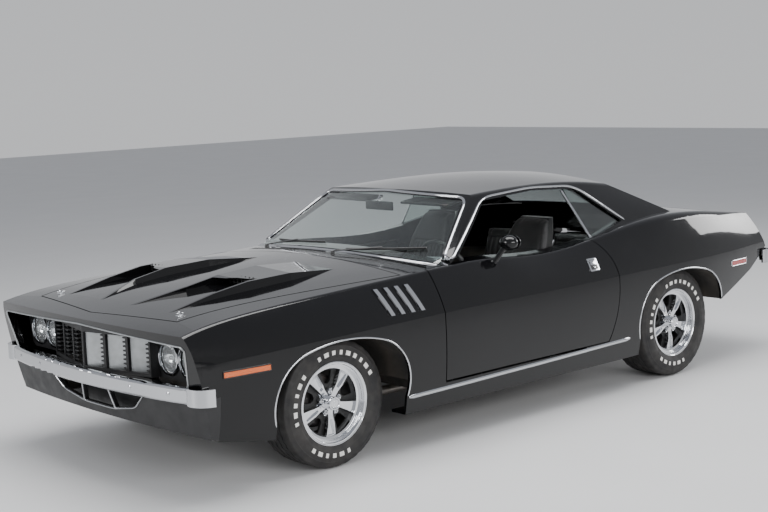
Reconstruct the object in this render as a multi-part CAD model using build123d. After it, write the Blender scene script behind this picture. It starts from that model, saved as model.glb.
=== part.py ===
from build123d import *
import os
from math import hypot, radians, sin, sqrt

# Two-door muscle car. Millimetres, +X forward, +Y to the driver's side (left), +Z up.
# The origin is on the ground, midway between the front bumper's nose and the tail.

# Driving dimensions
FRONT_AXLE_X = 1425.0
WHEELBASE = 2743.0
REAR_AXLE_X = FRONT_AXLE_X - WHEELBASE
NOSE_X = 2344.0             # tip of the nose panel on the centre line
TAIL_X = -2368.0            # tip of the tail on the centre line
BUMPER_FRONT_X, BUMPER_REAR_X = 2354.0, -2386.0
ORIGIN_SHIFT = -(BUMPER_FRONT_X + BUMPER_REAR_X) / 2    # the tables below start from the axle datum
SKIN = 14.0                 # body panel with its flange
DOOR_THICKNESS = 82.0
PILLAR = 42.0               # roof and pillars, outer skin to inner trim
PANEL_GAP = 6.0             # round the doors, the hood and the boot lid
HOOD_SIDE_GAP = 8.6         # beside the hood, which moves forward a little as it lifts
SEAT_GAP = 0.3              # between pieces that are fastened face to face
SIDE_BULGE = 13.0           # how far the upper side stands out from its chord
TUCK_BULGE = 16.0           # the same below the widest line

# Body cross-sections from nose to tail, one row each:
# x, crown height, edge y, edge z, edge radius, widest y, widest z, bottom y, bottom z
BODY_SECTIONS = (
    (2420, 780, 862, 752, 22, 876, 655, 846, 310),
    (2180, 832, 842, 818, 22, 905, 655, 872, 290),
    (1880, 882, 834, 850, 24, 930, 665, 892, 240),
    (1425, 925, 828, 874, 26, 941, 678, 900, 200),
    (900, 955, 827, 898, 28, 942, 690, 905, 200),
    (300, 955, 827, 917, 30, 941, 697, 905, 200),
    (-560, 955, 828, 926, 32, 944, 706, 905, 200),
    (-880, 990, 836, 974, 46, 948, 712, 905, 200),
    (-1150, 1018, 850, 1004, 60, 950, 716, 905, 205),
    (-1700, 1010, 850, 994, 60, 938, 724, 890, 240),
    (-2420, 935, 818, 918, 52, 872, 742, 820, 330),
)
# Greenhouse cross-sections, same columns: roof crown, roof rail corner, belt line, base
CABIN_SECTIONS = (
    (560, 1236, 612, 1212, 40, 822, 925, 836, 840),
    (190, 1270, 602, 1243, 40, 822, 925, 836, 840),
    (-260, 1302, 592, 1258, 45, 822, 925, 836, 840),
    (-720, 1296, 598, 1246, 50, 822, 925, 836, 840),
    (-1100, 1262, 622, 1196, 56, 822, 930, 836, 840),
    (-1700, 1180, 660, 1100, 60, 815, 945, 836, 840),
)
CABIN_BULGE = 10.0


def circle_through(a, b, bulge):
    """Centre and radius of the arc from a up to b that stands out by bulge."""
    (ay, az), (by, bz) = a, b
    half = hypot(by - ay, bz - az) / 2
    radius = (half * half + bulge * bulge) / (2 * bulge)
    ny, nz = (bz - az) / (2 * half), -(by - ay) / (2 * half)
    back = radius - bulge
    return ((ay + by) / 2 - ny * back, (az + bz) / 2 - nz * back), radius


def rounded_corner(c1, r1, c2, r2, r, near):
    """Centre of the arc of radius r that touches both circles from inside, near a point."""
    d1, d2 = r1 - r, r2 - r
    dy, dz = c2[0] - c1[0], c2[1] - c1[1]
    d = hypot(dy, dz)
    along = (d1 * d1 - d2 * d2 + d * d) / (2 * d)
    side = sqrt(max(d1 * d1 - along * along, 0.0))
    my, mz = c1[0] + along * dy / d, c1[1] + along * dz / d
    spots = [(my + s * side * dz / d, mz - s * side * dy / d) for s in (1, -1)]
    return min(spots, key=lambda p: hypot(p[0] - near[0], p[1] - near[1]))


def on_circle(centre, radius, towards):
    dy, dz = towards[0] - centre[0], towards[1] - centre[1]
    d = hypot(dy, dz)
    return centre[0] + dy / d * radius, centre[1] + dz / d * radius


def mid_of(a, b, centre, radius):
    return on_circle(centre, radius, ((a[0] + b[0]) / 2, (a[1] + b[1]) / 2))


def cross_section(row, inset, upper_bulge):
    """Closed wire of one cross-section, inset by a wall thickness."""
    x, crown, edge_y, edge_z, edge_r, wide_y, wide_z, low_y, low_z = row
    edge = (edge_y - inset, edge_z - inset)
    wide = (wide_y - inset, wide_z)
    low = (low_y - inset, low_z + inset)
    top = crown - inset
    radius = max(edge_r - inset, 4.0)
    rise = top - edge[1]
    crown_r = (edge[0] ** 2 + rise ** 2) / (2 * rise)
    crown_c = (0.0, top - crown_r)
    side_c, side_r = circle_through(wide, edge, upper_bulge)
    tuck_c, tuck_r = circle_through(low, wide, TUCK_BULGE)
    corner = rounded_corner(crown_c, crown_r, side_c, side_r, radius, edge)
    t1 = on_circle(crown_c, crown_r, corner)
    t2 = on_circle(side_c, side_r, corner)
    m_corner = on_circle(corner, radius, edge)
    m_side = mid_of(t2, wide, side_c, side_r)
    m_tuck = mid_of(wide, low, tuck_c, tuck_r)

    def at(p, s=1):
        return (x, s * p[0], p[1])

    edges = [ThreePointArc(at(t1, -1), (x, 0, top), at(t1))]
    for start, mid, end in ((t1, m_corner, t2), (t2, m_side, wide), (wide, m_tuck, low)):
        edges.append(ThreePointArc(at(start), at(mid), at(end)))
    edges.append(Line(at(low), at(low, -1)))
    for start, mid, end in ((low, m_tuck, wide), (wide, m_side, t2), (t2, m_corner, t1)):
        edges.append(ThreePointArc(at(start, -1), at(mid, -1), at(end, -1)))
    return Wire(edges)


def loft_body(sections, inset, bulge):
    return Part() + Solid.make_loft([cross_section(row, inset, bulge) for row in sections])


def closed_wire(points):
    return Wire(Polyline(*points, close=True))


def prism_y(points, y1, y2):
    """Outline of (x, z) points, or a ready wire at y 0, pushed out from y1 to y2."""
    wire = points if isinstance(points, Wire) else closed_wire([(x, 0, z) for x, z in points])
    face = Face(wire).moved(Location((0, y1, 0)))
    return extrude(face, amount=y2 - y1, dir=(0, 1, 0))


def prism_z(points, z1, z2):
    """Outline of (x, y) points, or a ready wire at z 0, pushed up from z1 to z2."""
    wire = points if isinstance(points, Wire) else closed_wire([(x, y, 0) for x, y in points])
    face = Face(wire).moved(Location((0, 0, z1)))
    return extrude(face, amount=z2 - z1, dir=(0, 0, 1))


def prism_x(points, x1, x2):
    """Outline of (y, z) points, or a ready wire at x 0, pushed out from x1 to x2."""
    wire = points if isinstance(points, Wire) else closed_wire([(0, y, z) for y, z in points])
    face = Face(wire).moved(Location((x1, 0, 0)))
    return extrude(face, amount=x2 - x1, dir=(1, 0, 0))


def block(x1, x2, y1, y2, z1, z2):
    centre = ((x1 + x2) / 2, (y1 + y2) / 2, (z1 + z2) / 2)
    return Pos(*centre) * Box(abs(x2 - x1), abs(y2 - y1), abs(z2 - z1))


def mirrored(shape):
    return mirror(shape, about=Plane.XZ)


def side_outline(x_mid, top, half_width, drop):
    """Closed wheel-arch outline in the x-z plane: a flat crown, round shoulders, open foot."""
    reach = 250.0
    crown = ThreePointArc((x_mid - reach, 0, top - drop), (x_mid, 0, top), (x_mid + reach, 0, top - drop))
    foot_z = 300.0
    right = TangentArc((x_mid + reach, 0, top - drop), (x_mid + half_width, 0, foot_z), tangent=crown % 1)
    left = mirror(right, about=Plane.YZ.offset(x_mid))
    front_x, rear_x = x_mid + half_width, x_mid - half_width
    base = Polyline((front_x, 0, foot_z), (front_x, 0, 60), (rear_x, 0, 60), (rear_x, 0, foot_z))
    return Wire([*crown.edges(), *right.edges(), *base.edges(), *left.edges()])


def arch_grown(arch, grow):
    """A wheel arch's outline, larger all round."""
    return side_outline(arch["x_mid"], arch["top"] + grow, arch["half_width"] + grow, arch["drop"])


def screen(x_ground, slant, radius, rear=False, shift=0.0):
    """Everything behind a curved screen (in front of it, if rear). The screen is bowed in plan
    by radius and leans by slant in x for each unit of z; shift moves it inwards, square to it."""
    low, high = 50.0, 1450.0
    lean = sqrt(1 + slant * slant)
    inward = shift * lean
    x_low = x_ground + slant * low + (inward if rear else -inward)
    centre = x_low + radius if rear else x_low - radius
    disc = Face(Wire(CenterArc((centre, 0, low), radius, 0, 360)))
    return extrude(disc, amount=(high - low) * lean, dir=(slant, 0, 1))


# Curved screens that end the body and the cabin: x at ground level on the centre line, lean, bow
NOSE_SCREEN = dict(x_ground=NOSE_X - 0.223 * 787, slant=0.223, radius=8400.0)
TAIL_SCREEN = dict(x_ground=TAIL_X - 0.5 * 670, slant=0.5, radius=9000.0, rear=True)
WINDSHIELD = dict(x_ground=2253.0, slant=-1.579, radius=1750.0)
BACKLIGHT = dict(x_ground=-4092.0, slant=2.48, radius=2000.0, rear=True)


def inside(inset):
    """The space within the body's skin, open at nose and tail."""
    return loft_body(BODY_SECTIONS, inset, SIDE_BULGE)


def hull(outset):
    """The whole body below the belt as one solid, grown by a clearance."""
    return inside(-outset) & screen(**NOSE_SCREEN, shift=-outset) & screen(**TAIL_SCREEN, shift=-outset)


def cabin(inset):
    body = loft_body(CABIN_SECTIONS, inset, CABIN_BULGE)
    return body & screen(**WINDSHIELD, shift=inset) & screen(**BACKLIGHT, shift=inset)


# Seams, seen from above: hood corners, hood point, rear edge
HOOD_FRONT_X, HOOD_POINT_X, HOOD_REAR_X = 2182.0, 2262.0, 925.0
HOOD_FRONT_Y, HOOD_REAR_Y = 635.0, 795.0
COWL_REAR_X, COWL_HALF = 400.0, HOOD_REAR_Y + PANEL_GAP - SEAT_GAP
COWL_DEPTH = 45.0
LID_FRONT_X, LID_REAR_X, LID_HALF = -1662.0, -2196.0, 620.0
TAIL_SPLIT_X, TAIL_HALF = LID_REAR_X - PANEL_GAP, 800.0
SILL_FRONT_X = 738.0
HOOD_THICKNESS = 24.0
LID_THICKNESS = 24.0
VALANCE_TOP_Z, VALANCE_REAR_X = 500.0, 2150.0
SILL_INNER_Y, SILL_TOP_Z = 800.0, 322.0
FLOOR_Z, FLOOR_GAUGE = 228.0, 12.0
DOOR_TAPER = 10.0
DOOR_PLANE_Y = 960.0

hood_plan = [(HOOD_FRONT_X, HOOD_FRONT_Y), (HOOD_POINT_X, 0), (HOOD_FRONT_X, -HOOD_FRONT_Y),
             (HOOD_REAR_X, -HOOD_REAR_Y), (HOOD_REAR_X, HOOD_REAR_Y)]
nose_rear_x = HOOD_FRONT_X + PANEL_GAP
nose_side_y = HOOD_FRONT_Y + HOOD_SIDE_GAP - SEAT_GAP
nose_plan = [(nose_rear_x, nose_side_y), (2262, 1000), (2500, 1000), (2500, -1000), (2262, -1000),
             (nose_rear_x, -nose_side_y), (HOOD_POINT_X + PANEL_GAP, 0)]
fender_plan = [(nose_rear_x - SEAT_GAP, HOOD_FRONT_Y + HOOD_SIDE_GAP), (2262 - SEAT_GAP, 1000), (2262, 1100),
               (690, 1100), (690, HOOD_REAR_Y + PANEL_GAP),
               (HOOD_REAR_X - PANEL_GAP, HOOD_REAR_Y + PANEL_GAP),
               (HOOD_REAR_X, HOOD_REAR_Y + HOOD_SIDE_GAP)]

outer, inner = hull(0), inside(SKIN)
lining = inside(SKIN + SEAT_GAP)
cabin_outer, cabin_inner = cabin(0), cabin(PILLAR)

# Door outline in the x-z plane, where it meets the plane y = DOOR_PLANE_Y: front edge and rear edge
DOOR_BOTTOM_Z, DOOR_TOP_Z = 328.0, 1060.0
door_front = ((793.0, DOOR_TOP_Z), (745.0, 700.0), (741.0, DOOR_BOTTOM_Z))
door_rear = ((-606.0, DOOR_BOTTOM_Z), (-672.0, 520.0), (-684.0, 715.0), (-652.0, 850.0), (-556.0, 955.0),
             (-556.0, DOOR_TOP_Z))


def door_wire(y, grow):
    """The door's outline at one y, with its front, rear and lower edges moved out by grow."""
    front = [(x + grow, y, z if z > DOOR_BOTTOM_Z else z - grow) for x, z in door_front]
    rear = [(x - grow, y, z if z > DOOR_BOTTOM_Z else z - grow) for x, z in door_rear]
    return Wire([Line(front[0], front[1]), Line(front[1], front[2]), Line(front[2], rear[0]),
                 ThreePointArc(rear[0], rear[1], rear[2]), ThreePointArc(rear[2], rear[3], rear[4]),
                 Line(rear[4], rear[5]), Line(rear[5], front[0])])


def door_prism(grow):
    """The door's outline pushed inwards, narrowing as it goes so that its rear edge swings clear."""
    depth = 300.0
    narrowing = depth * sin(radians(DOOR_TAPER))
    wires = [door_wire(DOOR_PLANE_Y, grow), door_wire(DOOR_PLANE_Y - depth, grow - narrowing)]
    return Part() + Solid.make_loft(wires, ruled=True)


door_cut = door_prism(PANEL_GAP)
FRONT_ARCH = dict(x_mid=FRONT_AXLE_X, top=652.0, half_width=412.0, drop=36.0)
REAR_ARCH = dict(x_mid=REAR_AXLE_X, top=674.0, half_width=412.0, drop=36.0)
front_arch = prism_y(side_outline(**FRONT_ARCH), 440, 1000)
rear_arch = prism_y(side_outline(**REAR_ARCH), 560, 1000)

TAIL_LOW_Z = 712.0
undercut_line = [(-1480, 0), (-1600, 352), (-1690, 404), (-2107, 580), (-2310, TAIL_LOW_Z)]
tail_undercut = prism_y(undercut_line + [(-2600, TAIL_LOW_Z), (-2600, 0)], -1200, 1200)

parts = {}


def wall(region, thickness):
    """The body's skin within a region, as thick as given."""
    return (outer & region) - inside(thickness)


# Front fender: skin outside the hood and nose seams, down to the sill
fender = wall(prism_z(fender_plan, 100, 1300), SKIN)
fender = fender - block(VALANCE_REAR_X, 2600, 0, 1100, 0, VALANCE_TOP_Z)
fender = fender - block(600, 2600, 0, SILL_INNER_Y, 0, 420) - front_arch - door_cut
fender = fender - block(600, SILL_FRONT_X + SEAT_GAP, 0, 1100, 0, SILL_TOP_Z + PANEL_GAP)
parts["front_fender_left"] = fender

# Seam flange under the sill, with a wider pad at each jacking place
SILL_LOW_Z, FLANGE_LOW_Z, FLANGE_Y, FLANGE_GAUGE = 200.0, 190.0, 833.0, 6.0
JACK_X, PAD_LENGTH, PAD_WIDTH, PAD_LOW_Z = (560.0, -480.0), 90.0, 24.0, 188.0

# Quarter panel: skin behind the door with the sill below it, thick where the cabin's side trim is
REAR_TRIM_X = -872.0
quarter = wall(block(-2500, REAR_TRIM_X, 0, 1100, 100, 1300), SKIN)
quarter = quarter - block(-2600, -900, 0, LID_HALF + PANEL_GAP, 100, 1300)
quarter = quarter - block(-2600, -900, 0, SILL_INNER_Y, 0, 700)
quarter = quarter - block(-2600, TAIL_SPLIT_X, 0, TAIL_HALF, 0, 1300)
thick = wall(block(REAR_TRIM_X, -400, LID_HALF + PANEL_GAP, 1100, SILL_TOP_Z, 1300), DOOR_THICKNESS)
sill = outer & block(REAR_TRIM_X, SILL_FRONT_X, SILL_INNER_Y, 1100, 100, SILL_TOP_Z)
quarter = quarter + (thick - cabin_inner) + sill
quarter = quarter - door_cut - rear_arch - cabin_inner
quarter = quarter - tail_undercut
striker = (door_cut - door_prism(SEAT_GAP)) & block(-760, -600, 872, 896, 588, 612)
quarter = quarter + striker
flange_top_z = SILL_LOW_Z + FLANGE_GAUGE
flange = block(-560, 700, FLANGE_Y - FLANGE_GAUGE / 2, FLANGE_Y + FLANGE_GAUGE / 2, FLANGE_LOW_Z,
               flange_top_z)
pad = block(-PAD_LENGTH / 2, PAD_LENGTH / 2, FLANGE_Y - PAD_WIDTH / 2, FLANGE_Y + PAD_WIDTH / 2, PAD_LOW_Z,
            flange_top_z)
for x in JACK_X:
    flange += Pos(x, 0, 0) * pad
quarter = quarter + flange
parts["quarter_panel_left"] = quarter

# Door: as thick as the whole wall, notched round the cowl's side
door_region = door_prism(0) & block(-900, 900, 735, 1100, 0, 1100)
door_region = door_region - block(COWL_REAR_X - 8, 900, 0, COWL_HALF + PANEL_GAP, 842, 1100)
parts["door_left"] = wall(door_region, DOOR_THICKNESS)

cowl = wall(block(COWL_REAR_X, HOOD_REAR_X - PANEL_GAP, -COWL_HALF, COWL_HALF, 700, 1200), COWL_DEPTH)
parts["cowl"] = cowl - cabin_inner

hood = wall(prism_z(hood_plan, 700, 1300), HOOD_THICKNESS)

# Hood scoops: a long raised blister on each side of the middle, with a ramp between two ridges that
# leads into its mouth. Rows: x, inner y, outer y, height over the hood
SCOOP_ROWS = (
    (2128, 128, 478, 1),
    (1860, 226, 486, 27),
    (1660, 236, 496, 46),
    (1400, 214, 500, 38),
    (1100, 168, 476, 1),
)
SCOOP_RIDGE, SCOOP_LEAN = 15.0, 10.0


def hood_top(x, y):
    """Height of the hood's surface, from the rows either side."""
    after = next(i for i, row in enumerate(BODY_SECTIONS) if row[0] <= x)
    (x1, crown1, y1, z1), (x2, crown2, y2, z2) = BODY_SECTIONS[after - 1][:4], BODY_SECTIONS[after][:4]
    t = (x1 - x) / (x1 - x2)
    crown, edge_y, edge_z = (a + t * (b - a) for a, b in ((crown1, crown2), (y1, y2), (z1, z2)))
    return crown - (crown - edge_z) * (y / edge_y) ** 2


def scoop_section(x, y1, y2, height):
    root = 12.0
    points = ((y1 - SCOOP_LEAN, hood_top(x, y1) - root), (y1, hood_top(x, y1) + height),
              (y2, hood_top(x, y2) + height), (y2 + SCOOP_LEAN, hood_top(x, y2) - root))
    return Wire(Polyline(*[(x, y, z) for y, z in points], close=True))


blister = Part() + Solid.make_loft([scoop_section(*row) for row in SCOOP_ROWS], ruled=True)
r = SCOOP_RIDGE
ramp = [(2150, 128 + r), (1860, 226 + r), (1700, 300), (1640, 380), (1615, 496 - r), (1860, 486 - r),
        (2150, 478 - r)]
mouth = prism_z(ramp, 700, 1300)
throat = prism_z([(1860, 226 + r), (1500, 232 + r), (1500, 496 - r), (1860, 486 - r)], 700, 938)
blister = blister - ((mouth + throat) - outer)
parts["hood"] = hood + blister + mirrored(blister)
parts["deck_lid"] = wall(block(LID_REAR_X, LID_FRONT_X, -LID_HALF, LID_HALF, 700, 1300), LID_THICKNESS)

# Nose panel: skin round the front with a face that the grille opening is cut in
NOSE_WALL = 36.0
GRILLE_LOW_Z = 538.0
nose_region = prism_z(nose_plan, VALANCE_TOP_Z, 1300)
nose = wall(nose_region, SKIN) + ((outer & nose_region) - screen(**NOSE_SCREEN, shift=NOSE_WALL))
grille_hole = [(-838, 740), (-800, 556), (-768, GRILLE_LOW_Z), (768, GRILLE_LOW_Z), (800, 556), (838, 740),
               (0, 762)]
parts["nose_panel"] = nose - prism_x(grille_hole, 2200, 2500)

# Grille: a plate with a V in plan, windows between its dividers, comb teeth and round lamp holes
LAMP_R, LAMP_Z, LAMP_LENGTH, LAMP_DOME = 73.0, 638.0, 60.0, 14.0
LAMPS = ((542.0, 2182.0), (702.0, 2176.0))      # y, x of each lamp's face
GRILLE_DEPTH = 14.0
GRILLE_FRONT = [(2168, -826), (2174, -460), (2222, -452), (2322, 0), (2222, 452), (2174, 460), (2168, 826)]
grille_plan = GRILLE_FRONT + [(x - GRILLE_DEPTH, y) for x, y in reversed(GRILLE_FRONT)]
HOLE_FIT = 0.5                                  # the grille's edge stays this far inside the nose's opening
hole_inset = [(-838 + 2 * HOLE_FIT, 740 - HOLE_FIT), (-800 + HOLE_FIT, 556 + HOLE_FIT / 2),
              (-768 + HOLE_FIT / 2, GRILLE_LOW_Z + HOLE_FIT), (768 - HOLE_FIT / 2, GRILLE_LOW_Z + HOLE_FIT),
              (800 - HOLE_FIT, 556 + HOLE_FIT / 2), (838 - 2 * HOLE_FIT, 740 - HOLE_FIT), (0, 762 - HOLE_FIT)]
grille = prism_z(grille_plan, 520, 770) & prism_x(hole_inset, 2000, 2500) & lining
WINDOWS, WINDOW_PITCH, BAR, WINDOW_LOW_Z, WINDOW_HIGH_Z = 3, 150.0, 16.0, 556.0, 726.0
TEETH, TOOTH, TOOTH_DEPTH, TOOTH_REACH = 8, 7.0, 26.0, 34.0     # comb at each window's outer side
BLADE_RUN, BLADE_SWEEP, BLADE_GAUGE = 60.0, 96.0, 3.0
grille_slope = (2322 - 2222) / 452              # how far the plate falls back for each unit of y
blades = Part()
for i in range(WINDOWS):
    y1, y2 = i * WINDOW_PITCH + BAR / 2, (i + 1) * WINDOW_PITCH - BAR / 2
    window = block(2100, 2400, y1, y2, WINDOW_LOW_Z, WINDOW_HIGH_Z)
    grille = grille - window - mirrored(window)
    tooth_x = 2322 - grille_slope * y2
    tooth_plan = [(tooth_x - 4, y2 + 1), (tooth_x - 4 - TOOTH_DEPTH, y2 + 1),
                  (tooth_x - 34, y2 - TOOTH_REACH), (tooth_x - 6, y2 - TOOTH_REACH)]
    for k in range(TEETH):
        z = WINDOW_LOW_Z + (WINDOW_HIGH_Z - WINDOW_LOW_Z) * (k + 0.5) / TEETH
        tooth = prism_z(tooth_plan, z - TOOTH / 2, z + TOOTH / 2)
        grille = grille + tooth + mirrored(tooth)
    face_x = 2322 - grille_slope * y1 - GRILLE_DEPTH - SEAT_GAP
    blade_plan = [(face_x, y1 - BLADE_GAUGE), (face_x - BLADE_RUN, y1 + BLADE_SWEEP),
                  (face_x - BLADE_RUN - BLADE_GAUGE, y1 + BLADE_SWEEP - BLADE_GAUGE),
                  (face_x - 3 * BLADE_GAUGE, y1 - BLADE_GAUGE)]
    blade = prism_z(blade_plan, WINDOW_LOW_Z - 6, WINDOW_HIGH_Z + 6)
    blades += blade + mirrored(blade)
for side in (1, -1):
    for y, x in LAMPS:
        grille = grille - Pos(x, side * y, LAMP_Z) * Rot(0, 90, 0) * Cylinder(LAMP_R + SEAT_GAP, 300)
parts["grille"] = grille
parts["grille_blades"] = blades
lamp = Pos(0, 0, -LAMP_LENGTH / 2) * Cylinder(LAMP_R, LAMP_LENGTH)
dome_r = (LAMP_R ** 2 + LAMP_DOME ** 2) / (2 * LAMP_DOME)
dome = Pos(0, 0, LAMP_DOME - dome_r) * Sphere(dome_r)
lamp += dome & (Pos(0, 0, LAMP_DOME / 2) * Cylinder(LAMP_R, LAMP_DOME))
lamps = Part()
for side in (1, -1):
    for y, x in LAMPS:
        lamps += Pos(x - LAMP_DOME, side * y, LAMP_Z) * Rot(0, 90, 0) * lamp
parts["headlamps"] = lamps

VALANCE_LOW_Z = 300.0
valance_region = block(VALANCE_REAR_X, 2600, -1100, 1100, VALANCE_LOW_Z, VALANCE_TOP_Z - SEAT_GAP)
valance = wall(valance_region, SKIN) + ((outer & valance_region) - screen(**NOSE_SCREEN, shift=20))
mouth = [(-430, 462), (-330, 385), (-130, 352), (130, 352), (330, 385), (430, 462)]
valance = valance - prism_x(mouth, 2160, 2500)
for side in (1, -1):
    bar = prism_x([(side * 140, 340), (side * 108, 475), (side * 126, 475), (side * 158, 340)], 2160, 2500)
    valance += (outer & bar & valance_region) - screen(**NOSE_SCREEN, shift=20)
parts["front_valance"] = valance

# Front bumper: a bowed bar with ends that wrap round the fenders, on two short brackets
FRONT_BUMPER = dict(nose_x=BUMPER_FRONT_X, corner=(2274, 818), end=(2200, 942), thickness=24,
                    end_thickness=16, low_z=470, high_z=550, crease=14)
REAR_BUMPER = dict(nose_x=BUMPER_REAR_X, corner=(-2346, 812), end=(-2236, 912), thickness=24,
                   end_thickness=12, low_z=604, high_z=690, crease=14)

# Roof with its pillars, above the body
side_hole = [(575, 800), (575, 905), (122, 1208), (-300, 1230), (-665, 1212), (-925, 1004), (-600, 935),
             (-600, 800)]
screen_hole = [(-772, 800), (-768, 935), (-578, 1222), (0, 1246), (578, 1222), (768, 935), (772, 800)]
back_hole = [(-600, 1012), (-515, 1205), (0, 1232), (515, 1205), (600, 1012), (0, 1024)]
body_clear = hull(SEAT_GAP)
roof = cabin_outer - cabin_inner - prism_y(side_hole, -1000, 1000) - prism_x(screen_hole, 0, 900)
roof = roof - prism_x(back_hole, -2000, -700) - body_clear
for side in (1, -1):
    roof = roof - block(380, 800, side * COWL_HALF, side * 1000, 0, 952)
parts["roof"] = roof


GLASS_SET_BACK, GLASS_GAUGE = 4.0, 6.0


def opening_prism(outline, direction, start, length):
    """What fills an opening in the roof with the seat's clearance all round."""
    face = offset(Face(closed_wire(outline)), amount=-SEAT_GAP, kind=Kind.INTERSECTION).face()
    return extrude(face.moved(Location(direction * start)), amount=length, dir=direction)


forward, leftward = Vector(1, 0, 0), Vector(0, 1, 0)
PANES = (("windshield", WINDSHIELD, screen_hole, 0), ("rear_window", BACKLIGHT, back_hole, -2000))
for name, sheet, outline, start in PANES:
    glass = screen(**sheet, shift=GLASS_SET_BACK) - screen(**sheet, shift=GLASS_SET_BACK + GLASS_GAUGE)
    parts[name] = (glass & opening_prism([(0, y, z) for y, z in outline], forward, start, 1300)) - body_clear

# Rear side glass: a flat pane leaning inwards with the cabin's side
quarter_hole = [(-600, 800), (-600, 935), (-925, 1004), (-665, 1212), (-576, 1215.5)]
QUARTER_LEAN, QUARTER_BELT_Y, BELT_Z = 0.70, 819.0, 925.0
slab = [(QUARTER_BELT_Y - QUARTER_LEAN * (z - BELT_Z) - inset, z)
        for z, inset in ((900, 0), (1240, 0), (1240, 1.2 * GLASS_GAUGE), (900, 1.2 * GLASS_GAUGE))]
pane_hole = opening_prism([(x, 0, z) for x, z in quarter_hole], leftward, 500, 500)
pane_left = (prism_x(slab, -1000, -500) & pane_hole) - body_clear
parts["quarter_glass"] = pane_left + mirrored(pane_left)

# Tail: panel with the lamps, shelf behind the rear seat, rear bumper
LAMP_RECESS, TAIL_PLATE_INNER = 14.0, 34.0
tail_front_x, tail_side_y, lid_low = TAIL_SPLIT_X - SEAT_GAP, TAIL_HALF - SEAT_GAP, LID_THICKNESS + 7
tail_skin = wall(block(-2600, tail_front_x, -tail_side_y, tail_side_y, 800, 1300), SKIN)
tail_link = (outer & screen(**TAIL_SCREEN, shift=LAMP_RECESS)) - screen(**TAIL_SCREEN, shift=TAIL_PLATE_INNER)
tail_link = tail_link & block(-2600, tail_front_x, -tail_side_y, tail_side_y, TAIL_LOW_Z + SEAT_GAP, 1300)
# Rain gutter that the boot lid's rear edge rests on
gutter_web = (outer & block(-2216, tail_front_x, -400, 400, 800, 1300)) - inside(lid_low)
gutter = (inside(LID_THICKNESS + SEAT_GAP) & block(-2210, -2160, -400, 400, 800, 1300)) - inside(lid_low)
parts["tail_panel"] = tail_skin + tail_link + gutter_web + gutter
lamp_slab = screen(**TAIL_SCREEN, shift=2) - screen(**TAIL_SCREEN, shift=LAMP_RECESS - SEAT_GAP)
tail_lamps = Part()
for side in (1, -1):
    tail_lamps += lamp_slab & block(-2600, -2100, side * 520 - 210, side * 520 + 210, 716, 806)
parts["tail_lamps"] = tail_lamps

shelf_half = LID_HALF + PANEL_GAP - SEAT_GAP
shelf = wall(block(LID_FRONT_X + PANEL_GAP, -1500, -shelf_half, shelf_half, 700, 1300), SKIN) - cabin_inner
shelf += block(-1566, -1554, -600, 600, 887, 1100) & inside(SKIN - 1)
shelf += block(-1566, -1216, -600, 600, 887, 901)
parts["rear_shelf"] = shelf



def bumper_bar(nose_x, corner, end, thickness, end_thickness, low_z, high_z, crease):
    """Bowed bar with ends that wrap round the body's corners. corner is where the bow ends and
    the wrap starts, end is its tip, both as (x, y) on the outer face; crease rounds the outer edges."""
    (cx, cy), (ex, ey) = corner, end
    to = 1 if nose_x > 0 else -1
    inner_x = cx - to * (thickness - 7)
    wrap = (cx - to * 12, cy + 90)
    inner_wrap = (cx - to * 25, cy + 86)
    edges = [ThreePointArc((cx, -cy, 0), (nose_x, 0, 0), (cx, cy, 0)),
             ThreePointArc((cx, cy, 0), (*wrap, 0), (ex, ey, 0)),
             Line((ex, ey, 0), (ex, ey - end_thickness, 0)),
             ThreePointArc((ex, ey - end_thickness, 0), (*inner_wrap, 0), (inner_x, cy - 10, 0)),
             ThreePointArc((inner_x, cy - 10, 0), (nose_x - to * thickness, 0, 0), (inner_x, 10 - cy, 0)),
             ThreePointArc((inner_x, 10 - cy, 0), (inner_wrap[0], -inner_wrap[1], 0),
                           (ex, end_thickness - ey, 0)),
             Line((ex, end_thickness - ey, 0), (ex, -ey, 0)),
             ThreePointArc((ex, -ey, 0), (wrap[0], -wrap[1], 0), (cx, -cy, 0))]
    bar = prism_z(Wire(edges), low_z, high_z)
    outer_edges = [e for e in bar.edges() if abs((e @ 0.5).Z - (low_z + high_z) / 2) > 1
                   and (e @ 0.5).X * to > nose_x * to - 5]
    return fillet(outer_edges, crease) if outer_edges else bar


bumper = bumper_bar(**FRONT_BUMPER)
for side in (1, -1):
    bumper += block(2200, 2322, side * 330 - 22, side * 330 + 22, 474, 498) - hull(SEAT_GAP)
parts["front_bumper"] = bumper
rear_bumper = bumper_bar(**REAR_BUMPER)
for side in (1, -1):
    bracket = block(-2364, -2150, side * 440, side * 480, 622, 650)
    rear_bumper += bracket & tail_undercut
parts["rear_bumper"] = rear_bumper

# Floor: pan with toe board, tunnel, boot floor and rear wheelhouses
FIREWALL_X = 800.0
TOE_Z, SEAT_FLOOR_Z, BOOT_Z = 420.0, 400.0, 560.0
HOUSE_GAP, HOUSE_WALL = 5.0, 12.0               # from an arch's edge to its wheelhouse, and the wall
FRONT_HOUSE_Y, REAR_HOUSE_Y = 420.0, 600.0      # inner faces of the wheelhouses
TUNNEL_TOP_Z, TUNNEL_TOP_HALF, TUNNEL_LOW_HALF = 430.0, 150.0, 185.0
floor_half = SILL_INNER_Y - SEAT_GAP
g = FLOOR_GAUGE
SEAT_RISER_X = -1200.0
floor_side = [(FIREWALL_X, TOE_Z), (620, FLOOR_Z), (-800, FLOOR_Z), (-900, SEAT_FLOOR_Z),
              (-1120, SEAT_FLOOR_Z), (SEAT_RISER_X, BOOT_Z), (SEAT_RISER_X, BOOT_Z - g),
              (-1128, SEAT_FLOOR_Z - g), (-908, SEAT_FLOOR_Z - g), (-808, FLOOR_Z - g),
              (620 + g, FLOOR_Z - g), (FIREWALL_X + g, TOE_Z)]
floor = prism_y(floor_side, -floor_half, floor_half)
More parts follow.
